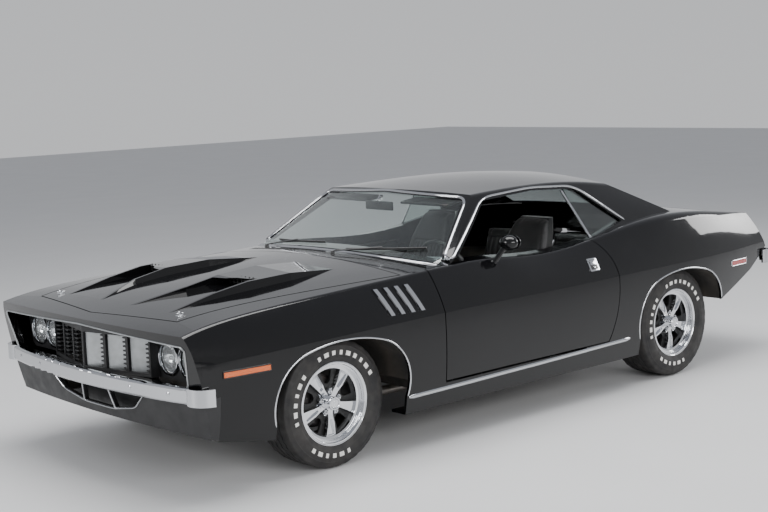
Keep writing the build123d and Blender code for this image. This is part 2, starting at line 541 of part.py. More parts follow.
tunnel = [(-TUNNEL_LOW_HALF, FLOOR_Z - g), (-TUNNEL_TOP_HALF, TUNNEL_TOP_Z), (TUNNEL_TOP_HALF, TUNNEL_TOP_Z),
          (TUNNEL_LOW_HALF, FLOOR_Z - g)]
tunnel_void = [(-TUNNEL_LOW_HALF + 13, 150), (-TUNNEL_TOP_HALF + g, TUNNEL_TOP_Z - g),
               (TUNNEL_TOP_HALF - g, TUNNEL_TOP_Z - g), (TUNNEL_LOW_HALF - 13, 150)]
floor += prism_x(tunnel, -1130, FIREWALL_X)
floor = floor - prism_x(tunnel_void, -1300, 900)
floor += block(100, 160, -210, 210, 200, 211.7) + block(100, 160, 190, 210, 200, 220)
floor += block(100, 160, -210, -190, 200, 220)
rear_void = prism_y(arch_grown(REAR_ARCH, HOUSE_GAP), REAR_HOUSE_Y + HOUSE_WALL, 1000)
parts["floor_pan"] = floor - rear_void - mirrored(rear_void)

# Boot floor, rising under the tail, with the rear wheelhouses and rails
boot_side = [(SEAT_RISER_X, BOOT_Z), (-2018, BOOT_Z), (-2100, 594), (-2310, 730), (-2310, 712.5),
             (-2107, 580.4), (-2030, BOOT_Z - g), (SEAT_RISER_X, BOOT_Z - g)]
boot = prism_y(boot_side, -floor_half, floor_half) - rear_void - mirrored(rear_void)
house = prism_y(arch_grown(REAR_ARCH, HOUSE_GAP + HOUSE_WALL), REAR_HOUSE_Y, 1000) - rear_void
house = house & block(-1800, SEAT_RISER_X, REAR_HOUSE_Y - 10, 1000, 380, 720) & lining
rear_rail = block(-2000, -1230, 430, 490, 470, BOOT_Z - 5)
boot = (boot + house + mirrored(house) + rear_rail + mirrored(rear_rail)) - tail_undercut
parts["boot_floor"] = boot & screen(**TAIL_SCREEN, shift=TAIL_PLATE_INNER + SEAT_GAP)
front_house = prism_y(arch_grown(REAR_ARCH, HOUSE_GAP + HOUSE_WALL), REAR_HOUSE_Y, 1000) - rear_void
front_house = front_house & block(SEAT_RISER_X, -800, REAR_HOUSE_Y - 10, 1000, 380, 720) & lining
parts["floor_pan"] += front_house + mirrored(front_house)

# Front frame: firewall, hinge pillars, rails, wheelhouses and aprons, with the radiator support and the
# hood's stops at its front
firewall_edge = [(floor_half, TOE_Z), (floor_half, 812), (700, 846), (350, 884), (0, 896)]
firewall_edge = firewall_edge + [(-y, z) for y, z in reversed(firewall_edge[:-1])]
hinge_pillar = block(FIREWALL_X, 850, 700, 930, TOE_Z, 812) & lining
firewall = prism_x(firewall_edge, FIREWALL_X, FIREWALL_X + g) + hinge_pillar + mirrored(hinge_pillar)
FRAME_REAR_X = FIREWALL_X + g
SUPPORT_X1, SUPPORT_X2, SUPPORT_HALF = 2080.0, 2100.0, 600.0
RAIL_Y1, RAIL_LOW_Z, RAIL_HIGH_Z, APRON_TOP_Z = 360.0, 360.0, 460.0, 790.0
CORE_HALF, CORE_LOW_Z, CORE_HIGH_Z = 335.0, 420.0, 770.0
STOP_Y1, STOP_Y2 = 480.0, 520.0
arch_void = prism_y(arch_grown(FRONT_ARCH, HOUSE_GAP), FRONT_HOUSE_Y + HOUSE_WALL, 1000)
half = prism_y(arch_grown(FRONT_ARCH, HOUSE_GAP + HOUSE_WALL), FRONT_HOUSE_Y, 1000) - arch_void
half = half & block(900, 2000, FRONT_HOUSE_Y - 20, 1000, 380, 700) & lining
half += block(FRAME_REAR_X, 2215, RAIL_Y1, FRONT_HOUSE_Y, RAIL_LOW_Z, RAIL_HIGH_Z)
apron = block(FRAME_REAR_X, SUPPORT_X2, FRONT_HOUSE_Y, FRONT_HOUSE_Y + HOUSE_WALL, 440, APRON_TOP_Z)
half += apron - prism_y(arch_grown(FRONT_ARCH, HOUSE_GAP), FRONT_HOUSE_Y + HOUSE_WALL - 2, 1000)
half += block(SUPPORT_X1, SUPPORT_X2, STOP_Y1, STOP_Y2, 700, 1000) & inside(HOOD_THICKNESS + SEAT_GAP)
support = block(SUPPORT_X1, SUPPORT_X2, -SUPPORT_HALF, SUPPORT_HALF, 380, APRON_TOP_Z)
support = support - block(SUPPORT_X1 - 10, SUPPORT_X2 + 10, -CORE_HALF, CORE_HALF, CORE_LOW_Z, CORE_HIGH_Z)
parts["front_frame"] = firewall + support + half + mirrored(half)

parts["radiator"] = block(SUPPORT_X1 - 50, SUPPORT_X1 - SEAT_GAP, -CORE_HALF - 21, CORE_HALF + 21, 400, 780)
ENGINE_HALF, GEARBOX_R = 250.0, 100.0
engine = block(1020, 1620, -ENGINE_HALF, ENGINE_HALF, 340, 760)
engine += Pos(500, 0, 312) * Rot(0, 90, 0) * Cylinder(GEARBOX_R, 1080)
parts["engine"] = engine

# Front suspension: crossmember and control arms; the knuckles turn between their ends
KINGPIN_Y, HUB_Z, HUB_Z_REAR = 660.0, 325.0, 335.0
SPINDLE_END, AXLE_END, AXLE_R = 776.0, 801.0, 19.0
AXLE_FIT = 0.3               # running clearance of the wheels on their spindles
POST_LOW, POST_HIGH = 205.0, 455.0
susp = block(1365, 1485, -359.7, 359.7, 240, 339.7)
for side in (1, -1):
    for z1, z2, y1 in ((184.5, 204.5, 300), (POST_HIGH + 0.5, POST_HIGH + 20.5, 432.3)):
        arm_plan = [(1365, side * y1), (1485, side * y1), (1450, side * KINGPIN_Y), (1400, side * KINGPIN_Y)]
        arm = prism_z(arm_plan, z1, z2)
        susp += arm + Pos(FRONT_AXLE_X, side * KINGPIN_Y, (z1 + z2) / 2) * Cylinder(30, z2 - z1)
    susp += block(1365, 1485, side * 300, side * 340, 184.5, 260)
parts["front_suspension"] = susp

knuckle = Pos(FRONT_AXLE_X, KINGPIN_Y, (POST_LOW + POST_HIGH) / 2) * Cylinder(22, POST_HIGH - POST_LOW)
spindle = Rot(90, 0, 0) * Cylinder(AXLE_R, SPINDLE_END - KINGPIN_Y)
knuckle += Pos(FRONT_AXLE_X, (KINGPIN_Y + SPINDLE_END) / 2, HUB_Z) * spindle
knuckle += block(FRONT_AXLE_X - 140, FRONT_AXLE_X, KINGPIN_Y - 22, KINGPIN_Y - 4, 250, 270)
parts["knuckle_left"] = knuckle


# Rim profile: lip radius, and the well and spoke sizes of the five-spoke wheels
LIP_R, SEAT_R, WELL_R, RIM_INNER_R = 208.0, 190.0, 184.0, 172.0
SPOKES, LUGS, LUG_R, LUG_CIRCLE_R = 5, 5, 9.0, 57.15
STEPS, STEP_RISE, STEP_RUN = 4, 4.0, 7.0        # bright steps down from the lip to the spokes
HUB_R, CAP_R, CAP_LENGTH = 82.0, 34.0, 40.0
SPOKE_DEPTH = 30.0                              # spokes lie this far below the lip


def turned(outline):
    """Solid turned about Z from an outline of (radius, height) points."""
    return revolve(Face(closed_wire([(r, 0, z) for r, z in outline])), Axis.Z)


def both_sides(points):
    """Closed outline from (x, y) points and their mirror images, in order."""
    return points + [(x, -y) for x, y in reversed(points)]


def wheel(half_rim):
    """Five-spoke rim turned about Z, outer side up."""
    h = half_rim
    stairs = [(LIP_R - 10, h)]
    for k in range(STEPS):
        r, z = LIP_R - 12 - STEP_RISE * k, h - 3 - STEP_RUN * k
        stairs += [(r, z), (r, z - STEP_RUN)]
    outline = [(LIP_R, h), *stairs, (RIM_INNER_R, h - 34), (RIM_INNER_R, -h + 24), (LIP_R - 12, -h),
               (LIP_R, -h), (LIP_R, -h + 12), (SEAT_R, -h + 14), (WELL_R, -h + 40), (WELL_R, h - 40),
               (SEAT_R, h - 14), (LIP_R, h - 12)]
    barrel = Rot(0, 0, 90 / SPOKES) * turned(outline)    # its seam lies beside a spoke, under none
    top = h - SPOKE_DEPTH
    disc_outline = [(0, top - 26), (HUB_R, top - 26), (RIM_INNER_R + 4, top - 34),
                    (RIM_INNER_R + 4, top - 46), (HUB_R, top - 44), (HUB_R - 20, top - 70), (0, top - 70)]
    disc = turned(disc_outline)
    slot = prism_z(both_sides([(92, 6), (104, 22), (156, 36), (160, 20)]), top - 80, top)
    spoke_end = RIM_INNER_R + 2
    spoke = prism_z(both_sides([(30, 15), (74, 15), (spoke_end, 31)]), top - 30, top)
    spoke = spoke & turned([(0, top - 6), (60, top - 6), (110, top), (spoke_end, top - 8),
                            (spoke_end, top - 40), (0, top - 40)])
    spoke = spoke - prism_z(both_sides([(84, 8), (164, 21)]), top - 14, top + 6)
    for k in range(SPOKES):
        disc = disc - Rot(0, 0, 90 + 360 / SPOKES * (k + 0.5)) * slot
    for k in range(SPOKES):
        disc = disc + Rot(0, 0, 90 + 360 / SPOKES * k) * spoke
    for k in range(LUGS):
        spot = Rot(0, 0, 90 + 360 / LUGS * (k + 0.5)) * Pos(LUG_CIRCLE_R, 0, top - 18)
        disc += spot * Cylinder(LUG_R + 6, 24) - spot * Pos(0, 0, 8) * Cylinder(LUG_R + 2, 12)
    disc += Pos(0, 0, top - 10) * Cylinder(CAP_R + 6, 30)
    disc += Pos(0, 0, top - 10 + CAP_LENGTH / 2) * Cylinder(CAP_R, CAP_LENGTH)
    disc = disc + Pos(0, 0, top - 70) * Cylinder(64, 20)
    return (barrel + disc) - Pos(0, 0, top - 170) * Cylinder(AXLE_R + AXLE_FIT, 300)


BEAD_R, SHOULDER = 190.3, 16.0


def tyre(radius, half_width, half_rim):
    """Tyre turned about Z: beads in the rim, bulged sidewalls, rounded shoulders and a crowned tread."""
    h, w, r = half_rim, half_width, radius
    edges = [Line((BEAD_R, 0, -h + 14.6), (BEAD_R, 0, h - 14.6))]
    for s in (1, -1):
        foot, flange, lip = (BEAD_R, 0, s * (h - 14.6)), (209, 0, s * (h - 12.5)), (211, 0, s * (h - 1))
        shoulder, edge = (r - SHOULDER, 0, s * (w - 12)), (r - 2, 0, s * (w - 34))
        edges += [Line(foot, flange), Line(flange, lip), ThreePointArc(lip, (258, 0, s * w), shoulder),
                  ThreePointArc(shoulder, (r - 5, 0, s * (w - 20)), edge)]
    edges.append(ThreePointArc((r - 2, 0, w - 34), (r, 0, 0), (r - 2, 0, 34 - w)))
    return revolve(Face(Wire(edges)), Axis.Z)


# Columns: end, axle x, wheel centre y, tyre radius, half the tyre's width, half the rim's width
WHEELS = (("front", FRONT_AXLE_X, 735.0, HUB_Z, 118.0, 104.0),
          ("rear", REAR_AXLE_X, 757.0, HUB_Z_REAR, 127.0, 112.0))
for end, x, y, r, half_width, half_rim in WHEELS:
    stand = Pos(x, y, r) * Rot(-90, 0, 0)
    parts[f"rim_{end}_left"] = stand * wheel(half_rim)
    parts[f"tyre_{end}_left"] = stand * tyre(r, half_width, half_rim)

# Rear axle with the propeller shaft and the leaf springs
axle = Pos(REAR_AXLE_X, 0, HUB_Z_REAR) * Rot(90, 0, 0) * Cylinder(38, 1280)
axle += Pos(REAR_AXLE_X, 0, HUB_Z_REAR) * Sphere(128)
axle += Pos(REAR_AXLE_X, 0, HUB_Z_REAR) * Rot(90, 0, 0) * Cylinder(AXLE_R, 2 * AXLE_END)
axle += Pos((-41 + REAR_AXLE_X) / 2, 0, 328) * Rot(0, 90, 0) * Cylinder(36, -REAR_AXLE_X - 41)
for side in (1, -1):
    leaf_edges = [ThreePointArc((-935, 0, 352), (REAR_AXLE_X, 0, 278), (-1945, 0, 430)),
                  Line((-1945, 0, 430), (-1945, 0, 404)),
                  ThreePointArc((-1945, 0, 404), (REAR_AXLE_X, 0, 252), (-935, 0, 326)),
                  Line((-935, 0, 326), (-935, 0, 352))]
    y1, y2 = sorted((side * 500, side * 560))
    axle += prism_y(Wire(leaf_edges), y1, y2) + block(REAR_AXLE_X - 45, REAR_AXLE_X + 45, y1, y2, 255, 345)
    axle += block(-945, -915, y1, y2, 330, 387.7) + block(-1955, -1925, y1, y2, 404, 547.7)
parts["rear_axle"] = axle

EXHAUST_R, EXHAUST_GAP = 26.0, 2.3
exhaust_y = ENGINE_HALF + EXHAUST_R + EXHAUST_GAP
exhaust = Part()
for side in (1, -1):
    y = side * exhaust_y
    run = FilletPolyline((1320, y, 430), (1190, y, 165), (-1010, y, 152), (-1130, y, 250), (-1215, y, 452),
                         (-1425, y, 452), (-1560, y, 372), (-2100, y, 410), (-2330, y, 474), radius=70)
    exhaust += sweep(Plane(run @ 0, z_dir=run % 0) * Circle(EXHAUST_R), path=run)
    exhaust += block(-1420, -1400, y - 10, y + 10, 470, BOOT_Z - FLOOR_GAUGE - SEAT_GAP)
    exhaust += Pos(-600, y, 154) * Rot(0, 90, 0) * Cylinder(56, 480)
parts["exhaust"] = exhaust
parts["fuel_tank"] = block(-1900, -1610, -235, 235, 430, BOOT_Z - FLOOR_GAUGE - SEAT_GAP)

# Cabin: dashboard with its instrument hood and the steering column, wheel, seats and console
WHEEL_AT, COLUMN_TILT = (205.0, 400.0, 800.0), 20.0
WHEEL_R, GRIP_R, COLUMN_R = 185.0, 13.0, 30.0
dash = prism_y([(300, 660), (285, 790), (335, 850), (780, 868), (780, 820), (450, 650)], -725, 725)
hood_side = [(288, 770), (262, 800), (262, 852), (286, 872), (420, 866), (420, 780)]
dash += fillet(prism_y(hood_side, WHEEL_AT[1] - 165, WHEEL_AT[1] + 165).edges().filter_by(Axis.Y), 6)
dash = dash & inside(COWL_DEPTH + SEAT_GAP)
column = Rot(0, 90 + COLUMN_TILT, 0) * Pos(0, 0, 117.5) * Cylinder(COLUMN_R, 200)
parts["dashboard"] = dash + Pos(*WHEEL_AT) * column
ring = Torus(WHEEL_R, GRIP_R) + Cylinder(45, 34)
for angle in (0, 90, -90):                      # spokes run down and to both sides
    spoke = Pos(WHEEL_R / 2, 0, 0) * Box(WHEEL_R, 34, 6)
    for r in (75, 105, 135):
        spoke = spoke - Pos(r, 0, 0) * Cylinder(9, 10)
    ring += Rot(0, 0, angle) * spoke
parts["steering_wheel"] = Pos(*WHEEL_AT) * Rot(0, 90 + COLUMN_TILT, 0) * ring

# Bucket seat: cushion and back between raised bolsters, narrowed at the head
SEAT_Y1, SEAT_Y2, BOLSTER, SEAT_LOW_Z = 192.0, 612.0, 62.0, 300.0
cushion_side = [(120, SEAT_LOW_Z), (130, 420), (100, 448), (-280, 424), (-500, 1040), (-545, 1066),
                (-600, 1055), (-622, 1010), (-440, SEAT_LOW_Z)]
bolster_side = [(118, SEAT_LOW_Z), (128, 440), (92, 490), (-215, 478), (-300, 640), (-400, 840), (-520, 960),
                (-590, 950), (-440, SEAT_LOW_Z)]
seat_mid = (SEAT_Y1 + SEAT_Y2) / 2
seat_half = (SEAT_Y2 - SEAT_Y1) / 2
seat_front = [(seat_half, SEAT_LOW_Z), (seat_half, 780), (seat_half - 40, 950), (seat_half - 80, 1068)]
seat_front = [(seat_mid + y, z) for y, z in seat_front] + [(seat_mid - y, z) for y, z in reversed(seat_front)]
bucket = prism_y(cushion_side, SEAT_Y1 + 1, SEAT_Y2 - 1)
bucket += prism_y(bolster_side, SEAT_Y1, SEAT_Y1 + BOLSTER)
bucket += prism_y(bolster_side, SEAT_Y2 - BOLSTER, SEAT_Y2)
bucket = bucket & prism_x(seat_front, -800, 300)
bucket += block(-300, 60, SEAT_Y1 + 28, SEAT_Y2 - 32, FLOOR_Z + SEAT_GAP, SEAT_LOW_Z)
parts["bucket_seat_left"] = bucket
bench_side = [(-700, 262), (-690, 450), (-730, 492), (-1030, 462), (-1165, 872), (-1215, 884), (-1270, 872),
              (-1190, 580), (-1112, SEAT_FLOOR_Z + SEAT_GAP), (-892, SEAT_FLOOR_Z + SEAT_GAP), (-800, 262)]
tunnel_clear = [(-TUNNEL_LOW_HALF - 1, FLOOR_Z - g), (-TUNNEL_TOP_HALF - 1, TUNNEL_TOP_Z + 1),
                (TUNNEL_TOP_HALF + 1, TUNNEL_TOP_Z + 1), (TUNNEL_LOW_HALF + 1, FLOOR_Z - g)]
parts["rear_seat"] = prism_y(bench_side, -590, 590) - prism_x(tunnel_clear, -1200, -600)
console = fillet(block(-330, 280, -100, 100, TUNNEL_TOP_Z + SEAT_GAP, 500).edges().group_by(Axis.Z)[-1], 10)
console += Pos(120, 0, 560) * Cylinder(9, 130) + Pos(120, 0, 630) * Sphere(24)
parts["console"] = console

# Trim on the sides: louvre blades behind the front wheels, and marker lenses at both ends
GILLS, GILL_X, GILL_PITCH, GILL_WIDTH, GILL_RAKE, GILL_PROUD = 4, 1167.0, 68.3, 26.0, 54.0, 9.0
GILL_TOP_Z, GILL_LOW_Z = 862.0, 728.0
gills = Part()
blade_band = hull(GILL_PROUD) - body_clear
for i in range(GILLS):
    x = GILL_X - GILL_PITCH * i
    gill = [(x, GILL_TOP_Z), (x - GILL_WIDTH, GILL_TOP_Z), (x - GILL_WIDTH - GILL_RAKE, GILL_LOW_Z),
            (x - GILL_RAKE, GILL_LOW_Z)]
    gills += blade_band & prism_y(gill, 700, 1100)
parts["fender_gills"] = gills + mirrored(gills)
MARKERS = ((1880, 2131, 586, 610), (-2035, -1854, 632, 658))    # x from and to, z from and to
lens_band = hull(4) - body_clear
markers = Part()
for x1, x2, z1, z2 in MARKERS:
    markers += lens_band & block(x1, x2, 700, 1100, z1, z2)
parts["side_markers"] = markers + mirrored(markers)

for name in list(parts):
    if name.endswith("_left"):
        parts[name.replace("_left", "_right")] = mirrored(parts[name])

# The one door mirror: an oval head on a leaning foot
MIRROR_AT = (198.0, 892.0, 997.0)
mirror_head = Pos(*MIRROR_AT) * scale(Sphere(50), by=(0.9, 1.14, 0.84))
foot = Line((262, 838, 890), (MIRROR_AT[0] + 6, MIRROR_AT[1] - 12, MIRROR_AT[2] - 12))
parts["door_left"] += mirror_head + sweep(Plane(foot @ 0, z_dir=foot % 0) * Circle(14), path=foot)
os.makedirs("parts", exist_ok=True)
for name, shape in parts.items():
    export_step(Pos(ORIGIN_SHIFT, 0, 0) * shape, f"parts/{name}.step")
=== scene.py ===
"""Finish, trim, glass and light for a two-door muscle car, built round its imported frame.

Metres, +X forward, +Y left.
"""

from math import asin, atan2, cos, pi, radians, sin, sqrt

import bmesh
import bpy
from mathutils import Matrix, Vector
from mathutils.bvhtree import BVHTree


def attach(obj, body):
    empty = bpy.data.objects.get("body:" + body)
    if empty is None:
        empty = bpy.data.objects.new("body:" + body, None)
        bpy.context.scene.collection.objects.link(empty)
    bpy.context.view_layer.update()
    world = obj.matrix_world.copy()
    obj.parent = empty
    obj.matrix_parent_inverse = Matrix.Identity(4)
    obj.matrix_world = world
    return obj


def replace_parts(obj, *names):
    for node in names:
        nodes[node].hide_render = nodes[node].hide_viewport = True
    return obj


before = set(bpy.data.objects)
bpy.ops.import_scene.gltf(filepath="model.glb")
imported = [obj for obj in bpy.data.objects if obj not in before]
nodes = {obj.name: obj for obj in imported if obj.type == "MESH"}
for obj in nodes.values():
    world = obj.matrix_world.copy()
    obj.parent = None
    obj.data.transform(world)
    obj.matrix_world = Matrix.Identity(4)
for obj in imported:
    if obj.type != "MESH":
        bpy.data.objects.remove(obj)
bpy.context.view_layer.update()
SIDES = (("left", 1), ("right", -1))


# Node groups shared by the materials

def new_group(name, inputs, outputs):
    group = bpy.data.node_groups.new(name, "ShaderNodeTree")
    for label, value in inputs:
        socket = group.interface.new_socket(name=label, in_out="INPUT", socket_type="NodeSocketFloat")
        socket.default_value = value
    for label, kind in outputs:
        group.interface.new_socket(name=label, in_out="OUTPUT", socket_type=kind)
    return group, group.nodes.new("NodeGroupInput"), group.nodes.new("NodeGroupOutput")


def add_node(tree, kind, settings=None, **values):
    """One shader node: settings are its properties, values its unlinked inputs by name."""
    node = tree.nodes.new(kind)
    for key, value in (settings or {}).items():
        setattr(node, key, value)
    for key, value in values.items():
        node.inputs[key.replace("_", " ")].default_value = value
    return node


def speckle_group():
    """A soft uneven value between Low and High, over patches of 1 / Scale metres."""
    group, inp, out = new_group("uneven_patches",
                                (("Scale", 8.0), ("Detail", 4.0), ("Low", 0.0), ("High", 1.0)),
                                (("Value", "NodeSocketFloat"),))
    where = add_node(group, "ShaderNodeTexCoord")
    noise = add_node(group, "ShaderNodeTexNoise")
    spread = add_node(group, "ShaderNodeMapRange")
    group.links.new(where.outputs["Object"], noise.inputs["Vector"])
    group.links.new(inp.outputs["Scale"], noise.inputs["Scale"])
    group.links.new(inp.outputs["Detail"], noise.inputs["Detail"])
    spread.inputs["From Min"].default_value = 0.3
    spread.inputs["From Max"].default_value = 0.7
    group.links.new(noise.outputs["Fac"], spread.inputs["Value"])
    group.links.new(inp.outputs["Low"], spread.inputs["To Min"])
    group.links.new(inp.outputs["High"], spread.inputs["To Max"])
    group.links.new(spread.outputs["Result"], out.inputs["Value"])
    return group


def grain_group():
    """Leather or moulded-plastic grain: pebbles of 1 / Scale metres over fine noise."""
    group, inp, out = new_group("pebble_grain", (("Scale", 400.0), ("Fine", 0.3)),
                                (("Height", "NodeSocketFloat"),))
    where = add_node(group, "ShaderNodeTexCoord")
    cells = add_node(group, "ShaderNodeTexVoronoi", {"feature": "SMOOTH_F1"})
    noise = add_node(group, "ShaderNodeTexNoise", Detail=3.0)
    mix = add_node(group, "ShaderNodeMix", {"data_type": "FLOAT"})
    group.links.new(where.outputs["Object"], cells.inputs["Vector"])
    group.links.new(where.outputs["Object"], noise.inputs["Vector"])
    group.links.new(inp.outputs["Scale"], cells.inputs["Scale"])
    group.links.new(inp.outputs["Scale"], noise.inputs["Scale"])
    group.links.new(inp.outputs["Fine"], mix.inputs[0])
    group.links.new(cells.outputs["Distance"], mix.inputs[2])
    group.links.new(noise.outputs["Fac"], mix.inputs[3])
    group.links.new(mix.outputs[0], out.inputs["Height"])
    return group


def dust_group():
    """How much fine dust lies on a surface: most where it faces up, in patches."""
    group, inp, out = new_group("settled_dust", (("Amount", 0.3), ("Scale", 6.0)),
                                (("Mask", "NodeSocketFloat"),))
    facing = add_node(group, "ShaderNodeNewGeometry")
    split = add_node(group, "ShaderNodeSeparateXYZ")
    up = add_node(group, "ShaderNodeMapRange", From_Min=0.1, From_Max=1.0)
    where = add_node(group, "ShaderNodeTexCoord")
    noise = add_node(group, "ShaderNodeTexNoise", Detail=6.0)
    patch = add_node(group, "ShaderNodeMath", {"operation": "MULTIPLY"})
    share = add_node(group, "ShaderNodeMath", {"operation": "MULTIPLY", "use_clamp": True})
    group.links.new(facing.outputs["Normal"], split.inputs["Vector"])
    group.links.new(split.outputs["Z"], up.inputs["Value"])
    group.links.new(where.outputs["Object"], noise.inputs["Vector"])
    group.links.new(inp.outputs["Scale"], noise.inputs["Scale"])
    group.links.new(up.outputs["Result"], patch.inputs[0])
    group.links.new(noise.outputs["Fac"], patch.inputs[1])
    group.links.new(patch.outputs["Value"], share.inputs[0])
    group.links.new(inp.outputs["Amount"], share.inputs[1])
    group.links.new(share.outputs["Value"], out.inputs["Mask"])
    return group


PATCHES, GRAIN, DUST = speckle_group(), grain_group(), dust_group()


class Finish:
    """A material with one Principled shader, whose constants are set on its own sockets."""

    def __init__(self, name, **sockets):
        self.material = bpy.data.materials.new(name)
        self.material.use_nodes = True
        self.tree = self.material.node_tree
        self.shader = self.tree.nodes["Principled BSDF"]
        for key, value in sockets.items():
            socket = self.shader.inputs[key.replace("_", " ")]
            socket.default_value = (*value, 1.0) if isinstance(value, tuple) and len(value) == 3 else value

    def add(self, kind, settings=None, **values):
        return add_node(self.tree, kind, settings, **values)

    def group(self, group, **values):
        node = self.tree.nodes.new("ShaderNodeGroup")
        node.node_tree = group
        for key, value in values.items():
            node.inputs[key].default_value = value
        return node

    def join(self, source, socket, target, to):
        self.tree.links.new(source.outputs[socket], target.inputs[to])
        return target

    def uneven(self, to, low, high, scale=8.0, detail=4.0):
        """Lets a shader input vary between low and high in patches."""
        patch = self.group(PATCHES, Scale=scale, Detail=detail, Low=low, High=high)
        self.join(patch, "Value", self.shader, to)
        return self

    def bump(self, source, socket, distance, strength=1.0, to="Normal"):
        bump = self.add("ShaderNodeBump", Distance=distance, Strength=strength)
        self.join(source, socket, bump, "Height")
        self.join(bump, "Normal", self.shader, to)
        return self

    def grain(self, scale, distance, fine=0.3, strength=1.0):
        return self.bump(self.group(GRAIN, Scale=scale, Fine=fine), "Height", distance, strength)

    def two_colours(self, first, second, source, socket):
        """Base colour that runs from first to second with a mask."""
        mix = self.add("ShaderNodeMix", {"data_type": "RGBA"})
        mix.inputs[6].default_value = (*first, 1.0)
        mix.inputs[7].default_value = (*second, 1.0)
        self.tree.links.new(source.outputs[socket], mix.inputs[0])
        self.tree.links.new(mix.outputs[2], self.shader.inputs["Base Color"])
        return self


def gloss_paint():
    f = Finish("gloss_black_paint", Metallic=0.0, Coat_Weight=1.0, Coat_Roughness=0.02, Coat_IOR=1.36,
               Specular_IOR_Level=0.08)
    f.two_colours((0.003, 0.003, 0.0035), (0.02, 0.019, 0.018), f.group(DUST, Amount=0.02, Scale=5.0), "Mask")
    f.uneven("Roughness", 0.06, 0.16, scale=5.0)
    ripple = f.add("ShaderNodeTexNoise", Scale=260.0, Detail=1.0)
    return f.bump(ripple, "Fac", 0.00002, 0.25)


def satin_black():
    f = Finish("satin_black_paint", Metallic=0.0, Specular_IOR_Level=0.5)
    f.two_colours((0.010, 0.010, 0.011), (0.06, 0.056, 0.05), f.group(DUST, Amount=0.35, Scale=9.0), "Mask")
    f.uneven("Roughness", 0.38, 0.55, scale=14.0)
    return f.grain(900.0, 0.0001, 0.6, 0.4)


def chassis_black():
    f = Finish("underbody_black", Metallic=0.0)
    f.two_colours((0.012, 0.012, 0.012), (0.09, 0.075, 0.06),
                  f.group(PATCHES, Scale=7.0, Detail=8.0, Low=0.0, High=0.6), "Value")
    f.uneven("Roughness", 0.55, 0.85, scale=12.0)
    return f.grain(260.0, 0.0004, 0.7, 0.5)


def chrome(name="bright_chrome", low=0.03, high=0.11, colour=(0.60, 0.61, 0.63)):
    f = Finish(name, Metallic=1.0, Base_Color=colour)
    f.uneven("Roughness", low, high, scale=18.0)
    haze = f.add("ShaderNodeTexNoise", Scale=90.0, Detail=2.0)
    return f.bump(haze, "Fac", 0.00005, 0.15)


def silver_blade():
    f = Finish("silver_grille_paint", Metallic=0.75)
    f.two_colours((0.50, 0.52, 0.53), (0.36, 0.37, 0.37),
                  f.group(PATCHES, Scale=22.0, Detail=4.0, Low=0.0, High=0.8), "Value")
    f.uneven("Roughness", 0.28, 0.42, scale=40.0)
    return f.grain(1500.0, 0.00005, 0.5, 0.3)


def clear_glass(name="clear_glass", tint=(0.78, 0.86, 0.83)):
    f = Finish(name, Metallic=0.0, Transmission_Weight=1.0, Base_Color=tint, IOR=1.45, Coat_Weight=0.3)
    return f.uneven("Roughness", 0.0, 0.02, scale=4.0)


def lamp_glass():
    f = Finish("ribbed_lamp_glass", Metallic=0.0, Transmission_Weight=0.85, Base_Color=(0.93, 0.95, 0.96),
               IOR=1.5)
    f.uneven("Roughness", 0.02, 0.08, scale=20.0)
    ribs = f.add("ShaderNodeTexWave", {"wave_type": "BANDS", "bands_direction": "Y"}, Scale=32.0,
                 Distortion=0.0)
    where = f.add("ShaderNodeTexCoord")
    f.join(where, "Object", ribs, "Vector")
    return f.bump(ribs, "Fac", 0.0012, 0.8)


def lens_plastic(name, colour, glow=0.0):
    f = Finish(name, Metallic=0.0, Base_Color=colour, Coat_Weight=1.0, Coat_Roughness=0.05,
               Transmission_Weight=0.25,
               Emission_Color=colour, Emission_Strength=glow)
    f.uneven("Roughness", 0.12, 0.22, scale=30.0)
    cells = f.add("ShaderNodeTexVoronoi", {"feature": "F1"}, Scale=220.0, Randomness=0.0)
    where = f.add("ShaderNodeTexCoord")
    f.join(where, "Object", cells, "Vector")
    return f.bump(cells, "Distance", 0.0006, 0.5)


def tyre_rubber():
    f = Finish("tyre_rubber", Metallic=0.0, Specular_IOR_Level=0.35)
    f.two_colours((0.013, 0.013, 0.014), (0.055, 0.05, 0.045),
                  f.group(PATCHES, Scale=16.0, Detail=8.0, Low=0.0, High=0.5), "Value")
    f.uneven("Roughness", 0.5, 0.75, scale=30.0)
    return f.grain(700.0, 0.0002, 0.7, 0.5)


def white_rubber():
    f = Finish("white_sidewall_rubber", Metallic=0.0)
    f.two_colours((0.82, 0.81, 0.78), (0.5, 0.48, 0.44),
                  f.group(PATCHES, Scale=60.0, Detail=6.0, Low=0.0, High=0.5), "Value")
    f.uneven("Roughness", 0.5, 0.7, scale=60.0)
    return f.grain(900.0, 0.0001, 0.7, 0.4)


def vinyl(name="seat_vinyl", colour=(0.012, 0.012, 0.013), worn=(0.035, 0.034, 0.033)):
    f = Finish(name, Metallic=0.0, Sheen_Weight=0.15, Specular_IOR_Level=0.5)
    f.two_colours(colour, worn, f.group(PATCHES, Scale=9.0, Detail=5.0, Low=0.0, High=0.7), "Value")
    f.uneven("Roughness", 0.36, 0.52, scale=12.0)
    return f.grain(420.0, 0.0006, 0.25, 0.7)


def steel():
    f = Finish("exhaust_steel", Metallic=0.9)
    f.two_colours((0.42, 0.40, 0.38), (0.16, 0.12, 0.09),
                  f.group(PATCHES, Scale=9.0, Detail=8.0, Low=0.0, High=0.8), "Value")
    f.uneven("Roughness", 0.32, 0.6, scale=20.0)
    return f.grain(300.0, 0.0002, 0.7, 0.4)


